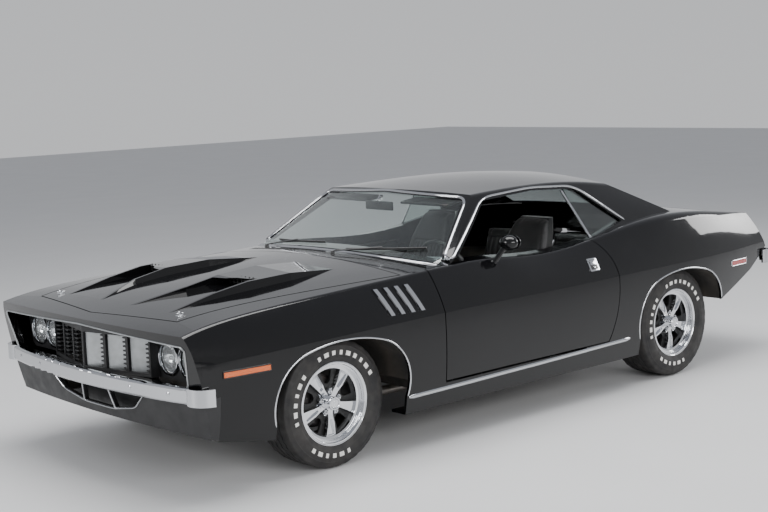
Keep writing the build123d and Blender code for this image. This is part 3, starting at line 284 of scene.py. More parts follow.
def iron():
    f = Finish("painted_iron", Metallic=0.3)
    f.two_colours((0.10, 0.10, 0.105), (0.05, 0.04, 0.035),
                  f.group(PATCHES, Scale=12.0, Detail=8.0, Low=0.0, High=0.9), "Value")
    f.uneven("Roughness", 0.5, 0.7, scale=20.0)
    return f.grain(350.0, 0.0006, 0.6, 0.7)


def black_wheel():
    f = Finish("wheel_recess_black", Metallic=0.0)
    f.two_colours((0.008, 0.008, 0.008), (0.04, 0.036, 0.03), f.group(DUST, Amount=0.4, Scale=14.0), "Mask")
    f.uneven("Roughness", 0.35, 0.55, scale=30.0)
    return f.grain(800.0, 0.0001, 0.6, 0.4)


def mirror_silver():
    f = Finish("mirror_silver", Metallic=1.0, Base_Color=(0.9, 0.92, 0.93))
    return f.uneven("Roughness", 0.01, 0.03, scale=3.0)


def carpet():
    f = Finish("black_carpet", Metallic=0.0, Sheen_Weight=0.5)
    f.two_colours((0.012, 0.012, 0.012), (0.05, 0.045, 0.04),
                  f.group(PATCHES, Scale=30.0, Detail=8.0, Low=0.0, High=0.6),
                  "Value")
    f.uneven("Roughness", 0.85, 1.0, scale=20.0)
    return f.grain(1400.0, 0.002, 0.8, 1.0)


def dial_face():
    f = Finish("dial_face", Metallic=0.0)
    f.two_colours((0.015, 0.015, 0.016), (0.03, 0.03, 0.03),
                  f.group(PATCHES, Scale=40.0, Detail=3.0, Low=0.0, High=0.5),
                  "Value")
    return f.uneven("Roughness", 0.4, 0.5, scale=40.0)


def engine_paint():
    f = Finish("engine_orange", Metallic=0.0, Coat_Weight=0.4)
    f.two_colours((0.75, 0.13, 0.02), (0.28, 0.07, 0.02),
                  f.group(PATCHES, Scale=18.0, Detail=8.0, Low=0.0, High=0.6),
                  "Value")
    f.uneven("Roughness", 0.3, 0.5, scale=20.0)
    return f.grain(500.0, 0.0002, 0.6, 0.5)


FINISHES = {
    "paint": gloss_paint(), "satin": satin_black(), "chassis": chassis_black(), "chrome": chrome(),
    "wheel_chrome": chrome("wheel_chrome", 0.04, 0.14, (0.74, 0.75, 0.77)), "silver": silver_blade(),
    "glass": clear_glass(), "lamp": lamp_glass(), "red": lens_plastic("red_lens", (0.45, 0.012, 0.01)),
    "amber": lens_plastic("amber_lens", (0.75, 0.13, 0.008), 0.03), "rubber": tyre_rubber(),
    "white": white_rubber(),
    "vinyl": vinyl(), "steel": steel(), "iron": iron(),
    "plastic": vinyl("moulded_plastic", (0.014, 0.014, 0.015), (0.03, 0.03, 0.03)),
    "recess": black_wheel(), "mirror": mirror_silver(), "carpet": carpet(), "dial": dial_face(),
    "motor": engine_paint(),
}

NODE_FINISH = (
    ("paint", ("front_fender", "quarter_panel", "door", "cowl", "hood", "deck_lid", "nose_panel", "roof",
               "tail_panel", "rear_shelf")),
    ("satin", ("grille", "front_valance", "radiator")),
    ("chrome", ("front_bumper", "rear_bumper", "fender_gills")),
    ("glass", ("windshield", "rear_window", "quarter_glass")), ("lamp", ("headlamps",)),
    ("red", ("tail_lamps",)),
    ("silver", ("grille_blades",)), ("amber", ("side_markers",)),
    ("chassis", ("floor_pan", "boot_floor", "front_frame", "front_suspension", "rear_axle", "fuel_tank",
                 "knuckle")),
    ("iron", ("engine",)), ("steel", ("exhaust",)), ("wheel_chrome", ("rim",)), ("rubber", ("tyre",)),
    ("vinyl", ("bucket_seat", "rear_seat")), ("plastic", ("steering_wheel", "dashboard", "console")),
)


def dress_nodes():
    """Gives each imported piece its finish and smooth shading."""
    for name, obj in nodes.items():
        for finish, starts in NODE_FINISH:
            if name.startswith(starts):
                obj.data.materials.clear()
                obj.data.materials.append(FINISHES[finish].material)
        for polygon in obj.data.polygons:
            polygon.use_smooth = True


dress_nodes()

# Shapes: each gathers closed forms in one mesh, which becomes a piece. Tables are in millimetres, and
# their x counts from the construction's axle datum.

DATUM_X = 16.0


def at(x, y, z):
    return Vector(((x + DATUM_X) / 1000, y / 1000, z / 1000))


def half_round(width, height, sink=1.0):
    """Profile of a raised moulding as (across, out) points."""
    w = width / 2
    arc = [(-w * cos(pi * k / 6), height * sin(pi * k / 6)) for k in range(7)]
    return [(-w, -sink)] + arc + [(w, -sink)]


def ring_profile(radius, count=8):
    return [(radius * cos(2 * pi * k / count), radius * sin(2 * pi * k / count)) for k in range(count)]


def eased(points, radius=30.0, step=14.0, loop=False):
    """Even steps along straight runs whose corners are rounded."""
    corners = [Vector(p) for p in points]
    radius, step = radius / 1000, step / 1000
    fine = []
    last = len(corners) - 1
    for i, b in enumerate(corners):
        if not loop and i in (0, last):
            fine.append(b)
            continue
        a, c = corners[i - 1], corners[(i + 1) % len(corners)]
        r = min(radius, (b - a).length * 0.45, (c - b).length * 0.45)
        start, end = b + (a - b).normalized() * r, b + (c - b).normalized() * r
        for k in range(7):
            t = k / 6
            fine.append(start * (1 - t) ** 2 + b * (2 * t * (1 - t)) + end * t * t)
    if loop:
        fine.append(fine[0])
    gone = [0.0]
    for a, b in zip(fine, fine[1:]):
        gone.append(gone[-1] + (b - a).length)
    count = max(2, round(gone[-1] / step))
    spaced, j = [], 0
    for k in range(count if loop else count + 1):
        want = gone[-1] * k / count
        while j < len(gone) - 2 and gone[j + 1] < want:
            j += 1
        span = max(gone[j + 1] - gone[j], 1e-9)
        spaced.append(fine[j].lerp(fine[j + 1], min(1.0, (want - gone[j]) / span)))
    return spaced


def surface(*names):
    """The named pieces of the frame as one surface that trim is laid on."""
    places, faces = [], []
    for name in names:
        mesh = nodes[name].data
        first = len(places)
        places += [v.co.copy() for v in mesh.vertices]
        faces += [[first + i for i in p.vertices] for p in mesh.polygons]
    return BVHTree.FromPolygons(places, faces)


def laid(tree, points, towards, window=2):
    """Where lines from the points along one direction meet a surface, with its eased normals."""
    towards = Vector(towards)
    hits = []
    for p in points:
        place, normal, _, _ = tree.ray_cast(p, towards)
        if place is not None:
            hits.append((place, -normal if normal.dot(towards) > 0 else normal))
    track = []
    for i, (place, _) in enumerate(hits):
        near = [n for _, n in hits[max(0, i - window):i + window + 1]]
        track.append((place, sum(near, Vector()).normalized()))
    return track


class Shape:
    def __init__(self):
        self.bm = bmesh.new()

    def skin(self, rings, loop=False):
        """Joins a row of rings of points, all of one count, and closes its ends."""
        made = [[self.bm.verts.new(p) for p in ring] for ring in rings]
        for a, b in list(zip(made, made[1:])) + ([(made[-1], made[0])] if loop else []):
            for i in range(len(a)):
                j = (i + 1) % len(a)
                self.bm.faces.new((a[i], a[j], b[j], b[i]))
        if not loop:
            self.bm.faces.new(made[0][::-1])
            self.bm.faces.new(made[-1])
        return self

    def sweep(self, track, profile, loop=False, tip=1.0):
        """A profile of (across, out) points carried along (place, normal) pairs; tip scales both ends."""
        rings, count = [], len(track)
        for i, (place, normal) in enumerate(track):
            ahead = track[(i + 1) % count][0] if loop or i < count - 1 else place
            behind = track[i - 1][0] if loop or i else place
            along = (ahead - behind).normalized()
            across = along.cross(normal).normalized()
            out = across.cross(along)
            size = tip if not loop and i in (0, count - 1) else 1.0
            rings.append([place + (across * u + out * v) * (size / 1000) for u, v in profile])
        return self.skin(rings, loop)

    def tube(self, points, radius, count=8, tip=1.0):
        """A round bar along points."""
        facing = (points[-1] - points[0]).normalized().orthogonal()
        return self.sweep([(p, facing) for p in points], ring_profile(radius, count), tip=tip)

    def turn(self, outline, centre, axis, segments=40, start=0.0):
        """An outline of (radius, height) points turned about an axis."""
        axis = Vector(axis).normalized()
        side = axis.orthogonal().normalized()
        other = axis.cross(side)
        rings = []
        for k in range(segments):
            a = start + 2 * pi * k / segments
            arm = side * cos(a) + other * sin(a)
            rings.append([centre + (arm * r + axis * h) / 1000 for r, h in outline])
        return self.skin(rings, loop=True)

    def absorb(self, other):
        mesh = bpy.data.meshes.new("part")
        other.to_mesh(mesh)
        other.free()
        self.bm.from_mesh(mesh)
        bpy.data.meshes.remove(mesh)
        return self

    def block(self, centre, size, edge=2.0, turn=None):
        """A block with rounded edges round a centre; turn is a rotation matrix."""
        part = bmesh.new()
        bmesh.ops.create_cube(part, size=1.0)
        bmesh.ops.scale(part, vec=Vector(size) / 1000, verts=part.verts)
        bmesh.ops.bevel(part, geom=part.edges[:], offset=edge / 1000, segments=2, profile=0.5, affect="EDGES")
        place = Matrix.Translation(centre) @ (turn.to_4x4() if turn else Matrix.Identity(4))
        bmesh.ops.transform(part, matrix=place, verts=part.verts)
        return self.absorb(part)

    def plate(self, outline, origin, u, v, thickness, edge=1.0):
        """A flat plate from an outline of (u, v) points, raised off its plane, front edges rounded."""
        part = bmesh.new()
        u, v = Vector(u), Vector(v)
        out = u.cross(v)
        base = [part.verts.new(origin + (u * a + v * b) / 1000) for a, b in outline]
        face = part.faces.new(base)
        raised = bmesh.ops.extrude_face_region(part, geom=[face])["geom"]
        top = [g for g in raised if isinstance(g, bmesh.types.BMVert)]
        bmesh.ops.translate(part, vec=out * (thickness / 1000), verts=top)
        if edge:
            rim = [e for e in part.edges if all(w in top for w in e.verts)]
            bmesh.ops.bevel(part, geom=rim, offset=edge / 1000, segments=2, profile=0.5, affect="EDGES")
        return self.absorb(part)

    def piece(self, name, finish, body="body", crease=35.0):
        bm = self.bm
        bmesh.ops.remove_doubles(bm, verts=bm.verts, dist=2e-6)
        bmesh.ops.dissolve_degenerate(bm, dist=1e-7, edges=bm.edges)
        bmesh.ops.recalc_face_normals(bm, faces=bm.faces)
        mesh = bpy.data.meshes.new(name)
        bm.to_mesh(mesh)
        bm.free()
        for polygon in mesh.polygons:
            polygon.use_smooth = True
        mesh.set_sharp_from_angle(angle=radians(crease))
        piece = bpy.data.objects.new(name, mesh)
        bpy.context.scene.collection.objects.link(piece)
        mesh.materials.append(FINISHES[finish].material)
        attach(piece, body)
        return piece


def rounded_outline(width, height, radius, steps=5):
    """Outline of a rounded rectangle about its middle, as (u, v) points."""
    points = []
    for cx, cy, first in ((1, 1, 0), (-1, 1, 90), (-1, -1, 180), (1, -1, 270)):
        for k in range(steps + 1):
            a = radians(first + 90 * k / steps)
            points.append((cx * (width / 2 - radius) + radius * cos(a),
                           cy * (height / 2 - radius) + radius * sin(a)))
    return points


PAINTED = [n for n in nodes if n.startswith(("front_fender", "quarter_panel", "door", "cowl", "hood",
                                             "deck_lid",
                                             "nose_panel", "roof", "tail_panel", "rear_shelf",
                                             "front_valance"))]
SKIN = surface(*PAINTED)
EYE = 1300.0        # lines towards a side start this far from the middle


def arch_line(x_mid, top, half_width, drop, grow):
    """Points along a wheel arch's edge from its rear foot to its front foot, grown outwards."""
    top, half_width, reach, foot = top + grow, half_width + grow, 250.0, 300.0
    radius = (reach ** 2 + drop ** 2) / (2 * drop)
    lean = asin(reach / radius)
    run, fall = half_width - reach, top - drop - foot
    bend = (run ** 2 + fall ** 2) / (2 * (fall * cos(lean) - run * sin(lean)))
    crown = [(x_mid + radius * sin(lean * k / 6), top - radius * (1 - cos(lean * k / 6))) for k in range(-6,
                                                            7)]
    centre = (reach - bend * sin(lean), top - drop - bend * cos(lean))
    swing = atan2(foot - centre[1], half_width - centre[0])
    start = pi / 2 - lean
    front = [(x_mid + centre[0] + bend * cos(start + (swing - start) * k / 10),
              centre[1] + bend * sin(start + (swing - start) * k / 10)) for k in range(1, 11)]
    rear = [(2 * x_mid - x, z) for x, z in reversed(front)]
    return rear + crown + front


def side_trim():
    """Bright mouldings on both sides: drip rail, sill strip, arch lips and the quarter window's bar."""
    for side, s in SIDES:
        look = (0, -s, 0)
        rail = eased([at(x, s * EYE, z) for x,
                      z in ((596, 914), (128, 1223), (-300, 1246), (-674, 1228), (-950, 1006))],
                     90, 12)
        Shape().sweep(laid(SKIN, rail, look), half_round(14, 9), tip=0.5).piece(f"drip_rail_{side}", "chrome")
        sill = eased([at(x, s * EYE, z) for x, z in ((1000, 290), (0, 303), (-800, 319))], 10, 30)
        Shape().sweep(laid(SKIN, sill, look), half_round(24, 8), tip=0.4).piece(f"sill_strip_{side}",
                                                            "chrome")
        for end, arch in (("front", (1425, 652, 412, 36)), ("rear", (-1318, 674, 412, 36))):
            lip = eased([at(x, s * EYE, z) for x, z in arch_line(*arch, grow=5)], 20, 18)
            Shape().sweep(laid(SKIN, lip, look), half_round(9, 4), tip=0.5).piece(f"arch_lip_{end}_{side}",
                                                            "chrome")
        top, low = at(-566, s * 612, 1210), at(-592, s * 810, 934)
        facing = Vector((0.35, s * 0.78, 0.5)).normalized()
        bar = [(top.lerp(low, k / 8), facing) for k in range(9)]
        Shape().sweep(bar, half_round(15, 7, 5)).piece(f"quarter_window_bar_{side}", "chrome")


def glass_x(y, z):
    """x of the windshield's outer face."""
    return 2253 - 1.579 * z - (1750 - sqrt(1750 ** 2 - y ** 2))


def back_glass_x(y, z):
    """x of the rear window's outer face."""
    return -4092 + 2.48 * z + (2000 - sqrt(2000 ** 2 - y ** 2))


def glass_trim():
    """Bright surrounds of the windshield and the rear window."""
    up = eased([at(3000, y, z) for y, z in ((781, 934), (592, 1231), (0, 1257), (-592, 1231), (-781, 934))],
               60, 14)
    Shape().sweep(laid(SKIN, up, (-1, 0, 0)), half_round(17, 7), tip=0.6).piece("windshield_surround",
                                                            "chrome")
    steps = [780 - 60 * k for k in range(27)]
    low = [at(glass_x(y, 955 - 40 * (y / 800) ** 2) + 16, y, 1300) for y in steps]
    Shape().sweep(laid(SKIN, low, (0, 0, -1)), half_round(15, 7), tip=0.5).piece("windshield_base_strip",
                                                            "chrome")
    back = eased([at(-3000, y, z) for y,
                  z in ((612, 1018), (525, 1216), (0, 1243), (-525, 1216), (-612, 1018))], 60, 14)
    Shape().sweep(laid(SKIN, back, (1, 0, 0)), half_round(16, 7), tip=0.6).piece("rear_window_surround",
                                                            "chrome")
    steps = [610 - 55 * k for k in range(23)]
    low = [at(back_glass_x(y, 1022 - 14 * (y / 800) ** 2) - 16, y, 1300) for y in steps]
    Shape().sweep(laid(SKIN, low, (0, 0, -1)), half_round(14, 6), tip=0.5).piece("rear_window_base_strip",
                                                            "chrome")


def nose_trim():
    """Lines round the grille's recess and on the valance, a dark plate of painted shade behind the valance
    opening, lamp rings and reflectors.
    """
    nose = surface("nose_panel")
    edge = [at(3000, y, z) for y,
            z in ((-845, 741), (-807, 552), (-770, 531), (770, 531), (807, 552), (845, 741),
                                        (0, 769))]
    Shape().sweep(laid(nose, eased(edge, 26, 12, loop=True), (-1, 0, 0)), half_round(8, 6), loop=True).piece(
        "grille_edge_line", "silver")
    low = eased([at(3000, y, 516) for y in (-790, 0, 790)], 10, 20)
    Shape().sweep(laid(nose, low, (-1, 0, 0)), half_round(7, 4), tip=0.5).piece("nose_lower_line", "chrome")
    valance = surface("front_valance")
    mouth = eased([at(3000, y, z) for y,
                   z in ((-438, 464), (-334, 379), (-132, 345), (132, 345), (334, 379), (438, 464))],
                  30, 14)
    shape = Shape().sweep(laid(valance, mouth, (-1, 0, 0)), half_round(9, 6), tip=0.6)
    for s in (1, -1):
        divider = eased([at(3000, s * y, z) for y, z in ((118, 470), (148, 350))], 10, 16)
        shape.sweep(laid(valance, divider, (-1, 0, 0)), half_round(8, 5))
    shape.piece("valance_edge_line", "chrome")
    # Dark plate behind the valance opening: painted shade, standing in for the shadow under the car seen
    # through the opening.
    Shape().block(at(2122, 0, 391), (5, 1120, 176), 2).piece("valance_shade_plate", "satin")
    rings, bowls, cups = Shape(), Shape(), Shape()
    for s in (1, -1):
        for y, x in ((542, 2182), (702, 2176)):
            centre = at(x, s * y, 638)
            rings.turn([(73.5, -8), (73.5, 1), (76, 4.5), (80, 4), (83, 0), (83, -8)], centre, (1, 0, 0), 56)
            bowls.turn([(71.5, -16), (66, -26), (52, -42), (30, -53), (0, -56), (0, -54), (30, -51),
                        (51, -40),
                        (64, -25), (69.5, -16)], centre, (1, 0, 0), 48)
            cups.turn([(0, -40), (9, -40), (11, -36), (11, -30), (7, -26), (0, -24)], centre, (1, 0, 0), 20)
    rings.piece("headlamp_rings", "chrome")
    bowls.piece("headlamp_bowls", "mirror")
    cups.piece("headlamp_bulb_shields", "mirror")


def door_hardware():
    """Flush square handles, and the glass and rim of the door mirror."""
    for side, s in SIDES:
        place, normal = laid(surface(f"door_{side}"), [at(-491, s * EYE, 796)], (0, -s, 0))[0]
        u = Vector((-s, 0, 0))
        v = normal.cross(u).normalized()
        shape = Shape().plate(rounded_outline(80, 80, 9), place - normal * 0.001, u, v, 5, 1.5)
        shape.piece(f"handle_plate_{side}", "chrome", f"door_{side}")
        well = Shape().plate(rounded_outline(60, 60, 6), place + normal * 0.004, u, v, 0.8, 0.3)
        well.piece(f"handle_well_{side}", "satin", f"door_{side}")
        paddle = place + normal * 0.0045 + v * 0.011
        shape = Shape().plate(rounded_outline(54, 32, 5), paddle, u, v, 5, 2)
        shape.turn([(0, 2.5), (6, 2.5), (7.5, 1.5), (7.5, 0), (0, 0)], place + normal * 0.005 - v * 0.018,
                   normal, 24)
        shape.piece(f"handle_paddle_{side}", "chrome", f"door_{side}")
    centre = at(158, 892, 997)
    glass = [(48 * sin(2 * pi * k / 40), 35 * cos(2 * pi * k / 40)) for k in range(40)]
    Shape().plate(glass, centre, (0, -1, 0), (0, 0, 1), 4, 1).piece("mirror_glass", "mirror", "door_left")
    rim = [(52 * sin(2 * pi * k / 40), 39 * cos(2 * pi * k / 40)) for k in range(40)]
    Shape().plate(rim, centre + Vector((0.006, 0, 0)), (0, -1, 0), (0, 0, 1), 8, 3).piece(
        "mirror_rim", "paint", "door_left")


# Columns: end, axle x, wheel centre y, tyre radius, half the tyre's width, half the rim's width
WHEELS = (("front", 1425.0, 735.0, 325.0, 118.0, 104.0), ("rear", -1318.0, 757.0, 335.0, 127.0, 112.0))
SPOKES, LUG_CIRCLE, SPOKE_DEPTH, RIM_LIP = 5, 57.15, 30.0, 208.0
MARK_GROUPS = ((0.0, 9), (-112.0, 6), (-205.0, 6))      # white marks on the sidewall: first angle, how many
MARK_PITCH, MARK_LOW_R, MARK_HIGH_R = 10.5, 246.0, 268.0
TREAD_STEPS, GROOVE_DEPTH, ZIGZAG = 144, 6.5, 3.5


def sidewall(r, radius, w, h):
    """How far the tyre's sidewall stands out at one radius."""
    if r < 258:
        return w - ((258 - r) / 47) ** 2 * (w - h + 1)
    return w - ((r - 258) / (radius - 16 - 258)) ** 2 * 12


def tyre_outline(radius, w, h):
    """Half the tyre's outline from the tread's middle to the bead: radius, height, zigzag share."""
    grooves = (0.17, 0.50)
    points = [(radius, 0.0, 0.0)]
    for share in grooves:
        mid = share * w
        points += [(radius - 0.6, mid - 5, 1), (radius - GROOVE_DEPTH, mid - 3, 1),
                   (radius - GROOVE_DEPTH, mid + 3, 1),
                   (radius - 0.8, mid + 5, 1)]
    points += [(radius - 2, w - 34, 0), (radius - 5, w - 20, 0), (radius - 9, w - 14, 0),
               (radius - 16, w - 12, 0)]
    for r in (radius - 26, radius - 34, radius - 36, radius - 40, 272, 270, 262, 250, 240, 238, 228, 219,
              213):
        rib = 1.2 if r in (radius - 34, 240) else 0.0
        points.append((r, sidewall(r, radius, w, h) + rib, 0))
    return points + [(211, h - 1, 0), (209, h - 12.5, 0), (190.6, h - 14.6, 0)]


def tyre_shape(centre, out, radius, w, h):
    half = tyre_outline(radius, w, h)
    outline = half + [(r, -z, -share) for r, z, share in reversed(half[1:])]
    ahead = Vector((1, 0, 0))
    up = Vector((0, 0, 1))
    rings = []
    for k in range(TREAD_STEPS):
        a = 2 * pi * k / TREAD_STEPS
        arm = ahead * cos(a) + up * sin(a)
        wave = ZIGZAG * (1, 0, -1, 0)[k % 4]
        notch = (0, 2.2)[k % 4 == 1]
        ring = []
        for r, z, share in outline:
            shoulder = notch if w - 35 < abs(z) < w - 13 and r > radius - 12 else 0
            ring.append(centre + (arm * (r - shoulder) + out * (z + abs(share) * wave)) / 1000)
        rings.append(ring)
    return Shape().skin(rings, loop=True)


def blacken_recesses(rim, centre, out, top):
    """The rim's dark parts: the disc behind the spokes, away from the barrel and the hub."""
    rim.data.materials.append(FINISHES["recess"].material)
    for polygon in rim.data.polygons:
        middle = polygon.center - centre
        height = middle.dot(out) * 1000
        r = (middle - out * middle.dot(out)).length * 1000
        behind = height < top - 15 and 62 < r < 171
        if behind or (height < top - 48 and r < 176):
            polygon.material_index = 1


def wheels_and_tyres():
    for end, x, y, radius, w, h in WHEELS:
        top = h - SPOKE_DEPTH
        for side, s in SIDES:
            body, out = f"wheel_{end}_{side}", Vector((0, s, 0))
            centre = at(x, s * y, radius)
            tyre = tyre_shape(centre, out, radius, w, h).piece(f"tyre_tread_{end}_{side}", "rubber", body, 40)
            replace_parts(tyre, f"tyre_{end}_{side}")
            blacken_recesses(nodes[f"rim_{end}_{side}"], centre, out, top)
            marks = Shape()
            for first, count in MARK_GROUPS:
                for k in range(count):
                    a = radians(152 + first - MARK_PITCH * k)
                    half = 0.30 * MARK_PITCH * (0.75, 1.0, 0.6)[k % 3]
                    rings = []
                    for r in (MARK_LOW_R, 254, 261, MARK_HIGH_R):
                        z = sidewall(r, radius, w, h)
                        low, high = [], []
                        for b in (-half, 0, half):
                            arm = Vector((cos(a + radians(b)), 0, sin(a + radians(b))))
                            low.append(centre + (arm * r + out * (z - 1)) / 1000)
                            high.append(centre + (arm * r + out * (z + 1.3)) / 1000)
                        rings.append(low + high[::-1])
                    marks.skin(rings)
            marks.piece(f"sidewall_marks_{end}_{side}", "white", body)
            nuts, hub = Shape(), Shape()
            for k in range(SPOKES):
                a = radians(-90 + 36 + 72 * k)
                spot = centre + Vector((cos(a), 0, sin(a))) * LUG_CIRCLE / 1000 + out * (top / 1000)
                nuts.turn([(0, 9), (4.5, 8), (8, 4), (10, 3.5), (10.4, 2), (10.4, -15), (0, -15)], spot,
                          out, 6)
                nuts.turn([(12.2, -5.5), (14.6, -4), (15.2, -7), (12.2, -7)], spot, out, 24)
            nuts.piece(f"lug_nuts_{end}_{side}", "wheel_chrome", body, 30)
            cap = centre + out * ((top + 30) / 1000)
            hub.turn([(25, 0.2), (25, 3), (27, 4.6), (32, 4.2), (34.6, 1), (34.6, -8), (33, -8),
                      (33, -0.5)], cap, out, 48)
            hub.turn([(0, 2.6), (8, 2.6), (9, 1.6), (20, 1.2), (21, 2.4), (23, 2.2), (24.6, 0), (0, 0)],
                     cap, out, 48)
            hub.piece(f"hub_cap_{end}_{side}", "wheel_chrome", body)
            band = Shape().turn([(RIM_LIP - 3, h + 0.2), (RIM_LIP - 1, h + 2), (RIM_LIP + 2.4, h + 1.6),
                                 (RIM_LIP + 2.8, h - 2), (RIM_LIP - 3, h - 2)], centre, out, 96)
            band.piece(f"rim_band_{end}_{side}", "wheel_chrome", body)
            drum = Shape().turn([(30, top - 74), (118, top - 76), (124, top - 82), (126, top - 96),
                                 (130, top - 98),
                                 (130, top - 108), (60, top - 108), (30, top - 100)], centre, out, 56)
            drum.piece(f"brake_drum_{end}_{side}", "iron", body)
            a = radians(18)
            foot = centre + Vector((cos(a), 0, sin(a))) * 0.176 + out * ((h - 40) / 1000)
            stem = Vector((-cos(a) * 0.35, 0, -sin(a) * 0.35)) + out * 0.9
            Shape().turn([(0, 24), (2.4, 24), (2.6, 14), (3.8, 12), (4.4, 0), (0, 0)], foot, stem, 12).piece(
                f"valve_stem_{end}_{side}", "plastic", body)


def lamp_trim():
    """Bezels of the side markers and the tail lamps, red rear markers, tail line and exhaust tips."""
    skin = SKIN
    markers = nodes["side_markers"].data
    markers.materials.append(FINISHES["red"].material)
    for face in markers.polygons:
        if face.center.x < 0:
            face.material_index = 1
    for side, s in SIDES:
        for end, x1, x2, z1, z2 in (("front", 1880, 2131, 586, 610), ("rear", -2035, -1854, 632, 658)):
            corners = [at(x, s * EYE, z) for x,
                       z in ((x1 - 4, z1 - 4), (x2 + 4, z1 - 4), (x2 + 4, z2 + 4), (x1 - 4, z2 + 4))]
            track = laid(skin, eased(corners, 5, 10, loop=True), (0, -s, 0))
            finish = "satin" if end == "front" else "chrome"
            Shape().sweep(track, half_round(6, 5), loop=True).piece(f"marker_bezel_{end}_{side}", finish)
    tail = surface("tail_panel", "tail_lamps")
    for s, side in ((1, "left"), (-1, "right")):
        corners = [at(-3000, s * 520 + y, z) for y, z in ((-214, 712), (214, 712), (214, 810), (-214, 810))]
        Shape().sweep(laid(tail, eased(corners, 10, 12, loop=True), (1, 0, 0)), half_round(9, 6),
                      loop=True).piece(
            f"tail_lamp_bezel_{side}", "chrome")
        bars = Shape()
        for y in (-105, 0, 105):
            rib = eased([at(-3000, s * 520 + y, z) for z in (716, 760, 806)], 5, 12)
            bars.sweep(laid(tail, rib, (1, 0, 0)), half_round(5, 5))
        bars.piece(f"tail_lamp_bars_{side}", "chrome")
    edge = [at(-3000, y, z) for y, z in ((-775, 705), (775, 705), (770, 825), (-770, 825))]
    Shape().sweep(laid(surface("tail_panel", "tail_lamps"), eased(edge, 16, 16, loop=True), (1, 0, 0)),
                  half_round(7, 4), loop=True).piece("tail_edge_line", "chrome")
    for side, s in SIDES:
        tip = at(-2330, s * 278.3, 474)
        lean = Vector((-0.962, 0, 0.272)).normalized()
        Shape().turn([(27, -60), (31, -58), (33, -10), (37, 8), (36, 9), (31, -8), (27.5, -50)], tip, lean,
                     40).piece(
            f"exhaust_tip_{side}", "chrome")


# Cabin. A padded piece starts as a closed slab, is plumped by a pressure simulation, then gets its seams.

PAD_VOXEL, PAD_PRESSURE, PAD_FRAMES = 0.0065, 4.0, 20


def pad_slab(place, nu=24, nv=24):
    """A closed slab: place(u, v) gives its back and front points, with u and v from -1 to 1."""
    bm = bmesh.new()
    front, back = {}, {}
    for i in range(nu + 1):
        for j in range(nv + 1):
            low, high = place(2 * i / nu - 1, 2 * j / nv - 1)
            back[i, j], front[i, j] = bm.verts.new(low), bm.verts.new(high)
    for i in range(nu):
        for j in range(nv):
            bm.faces.new((front[i, j], front[i + 1, j], front[i + 1, j + 1], front[i, j + 1]))
            bm.faces.new((back[i, j], back[i, j + 1], back[i + 1, j + 1], back[i + 1, j]))
    border = [(i, 0) for i in range(nu)] + [(nu, j) for j in range(nv)] + [(i, nv) for i in range(nu, 0, -1)]
    border += [(0, j) for j in range(nv, 0, -1)]
    for a, b in zip(border, border[1:] + border[:1]):
        bm.faces.new((back[a], back[b], front[b], front[a]))
    bmesh.ops.recalc_face_normals(bm, faces=bm.faces)
    mesh = bpy.data.meshes.new("slab")
    bm.to_mesh(mesh)
    bm.free()
    return mesh


def evaluated_copy(piece):
    shown = piece.evaluated_get(bpy.context.evaluated_depsgraph_get())
    return bpy.data.meshes.new_from_object(shown)


def plump(mesh, reach):
    """The slab remeshed and blown up a little, no point moving further than reach millimetres."""
    piece = bpy.data.objects.new("pad_work", mesh)
    bpy.context.scene.collection.objects.link(piece)
    remesh = piece.modifiers.new("even", "REMESH")
    remesh.mode, remesh.voxel_size = "VOXEL", PAD_VOXEL
    piece.data = evaluated_copy(piece)
    piece.modifiers.clear()
    start = [v.co.copy() for v in piece.data.vertices]
    cloth = piece.modifiers.new("fill", "CLOTH")
    settings = cloth.settings
    settings.use_pressure, settings.uniform_pressure_force = True, PAD_PRESSURE
    settings.effector_weights.gravity = 0.0
    settings.quality = 4
    scene = bpy.context.scene
    for frame_number in range(1, PAD_FRAMES + 1):
        scene.frame_set(frame_number)
    swollen = evaluated_copy(piece)
    scene.frame_set(1)
    piece.modifiers.clear()
    piece.data = swollen
    for v, before in zip(piece.data.vertices, start):
        move = v.co - before
        if move.length > reach / 1000:
            v.co = before + move.normalized() * (reach / 1000)
    mesh = piece.data
    bpy.data.objects.remove(piece)
    return mesh


def press_seams(mesh, depth_at):
    """Moves each point inwards along its normal by depth_at(point) millimetres."""
    moves = [(v.normal.copy(), depth_at(v.co)) for v in mesh.vertices]
    for v, (normal, depth) in zip(mesh.vertices, moves):
        if depth:
            v.co -= normal * (depth / 1000)


def groove(distance, width=5.0):
    """Depth share of a sewn channel at a distance from its line, in millimetres."""
    return max(0.0, 1 - (distance / width) ** 2) if abs(distance) < width else 0.0


def soften(mesh, rounds):
    bm = bmesh.new()
    bm.from_mesh(mesh)
    for _ in range(rounds):
        bmesh.ops.smooth_vert(bm, verts=bm.verts, factor=0.5, use_axis_x=True, use_axis_y=True,
                              use_axis_z=True)
    bm.to_mesh(mesh)
    bm.free()


def padded_piece(name, mesh, replaced=(), fine=True, mirrored_in_y=False):
    if mirrored_in_y:
        bm = bmesh.new()
        bm.from_mesh(mesh)
        bmesh.ops.scale(bm, vec=(1, -1, 1), verts=bm.verts)
        bmesh.ops.reverse_faces(bm, faces=bm.faces)
        mesh = bpy.data.meshes.new(name)
        bm.to_mesh(mesh)
        bm.free()
    for polygon in mesh.polygons:
        polygon.use_smooth = True
    piece = bpy.data.objects.new(name, mesh)
    bpy.context.scene.collection.objects.link(piece)
    mesh.materials.clear()
    mesh.materials.append(FINISHES["vinyl"].material)
    if fine:
        piece.modifiers.new("smooth", "SUBSURF").render_levels = 1
        piece.modifiers["smooth"].levels = 1
    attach(piece, "body")
    if replaced:
        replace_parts(piece, *replaced)
    return piece


def corner_ease(u, v, power=4):
    """Draws a square's corners in, so that a pad has a rounded outline."""
    return u * (1 - 0.05 * abs(v) ** power), v * (1 - 0.05 * abs(u) ** power)


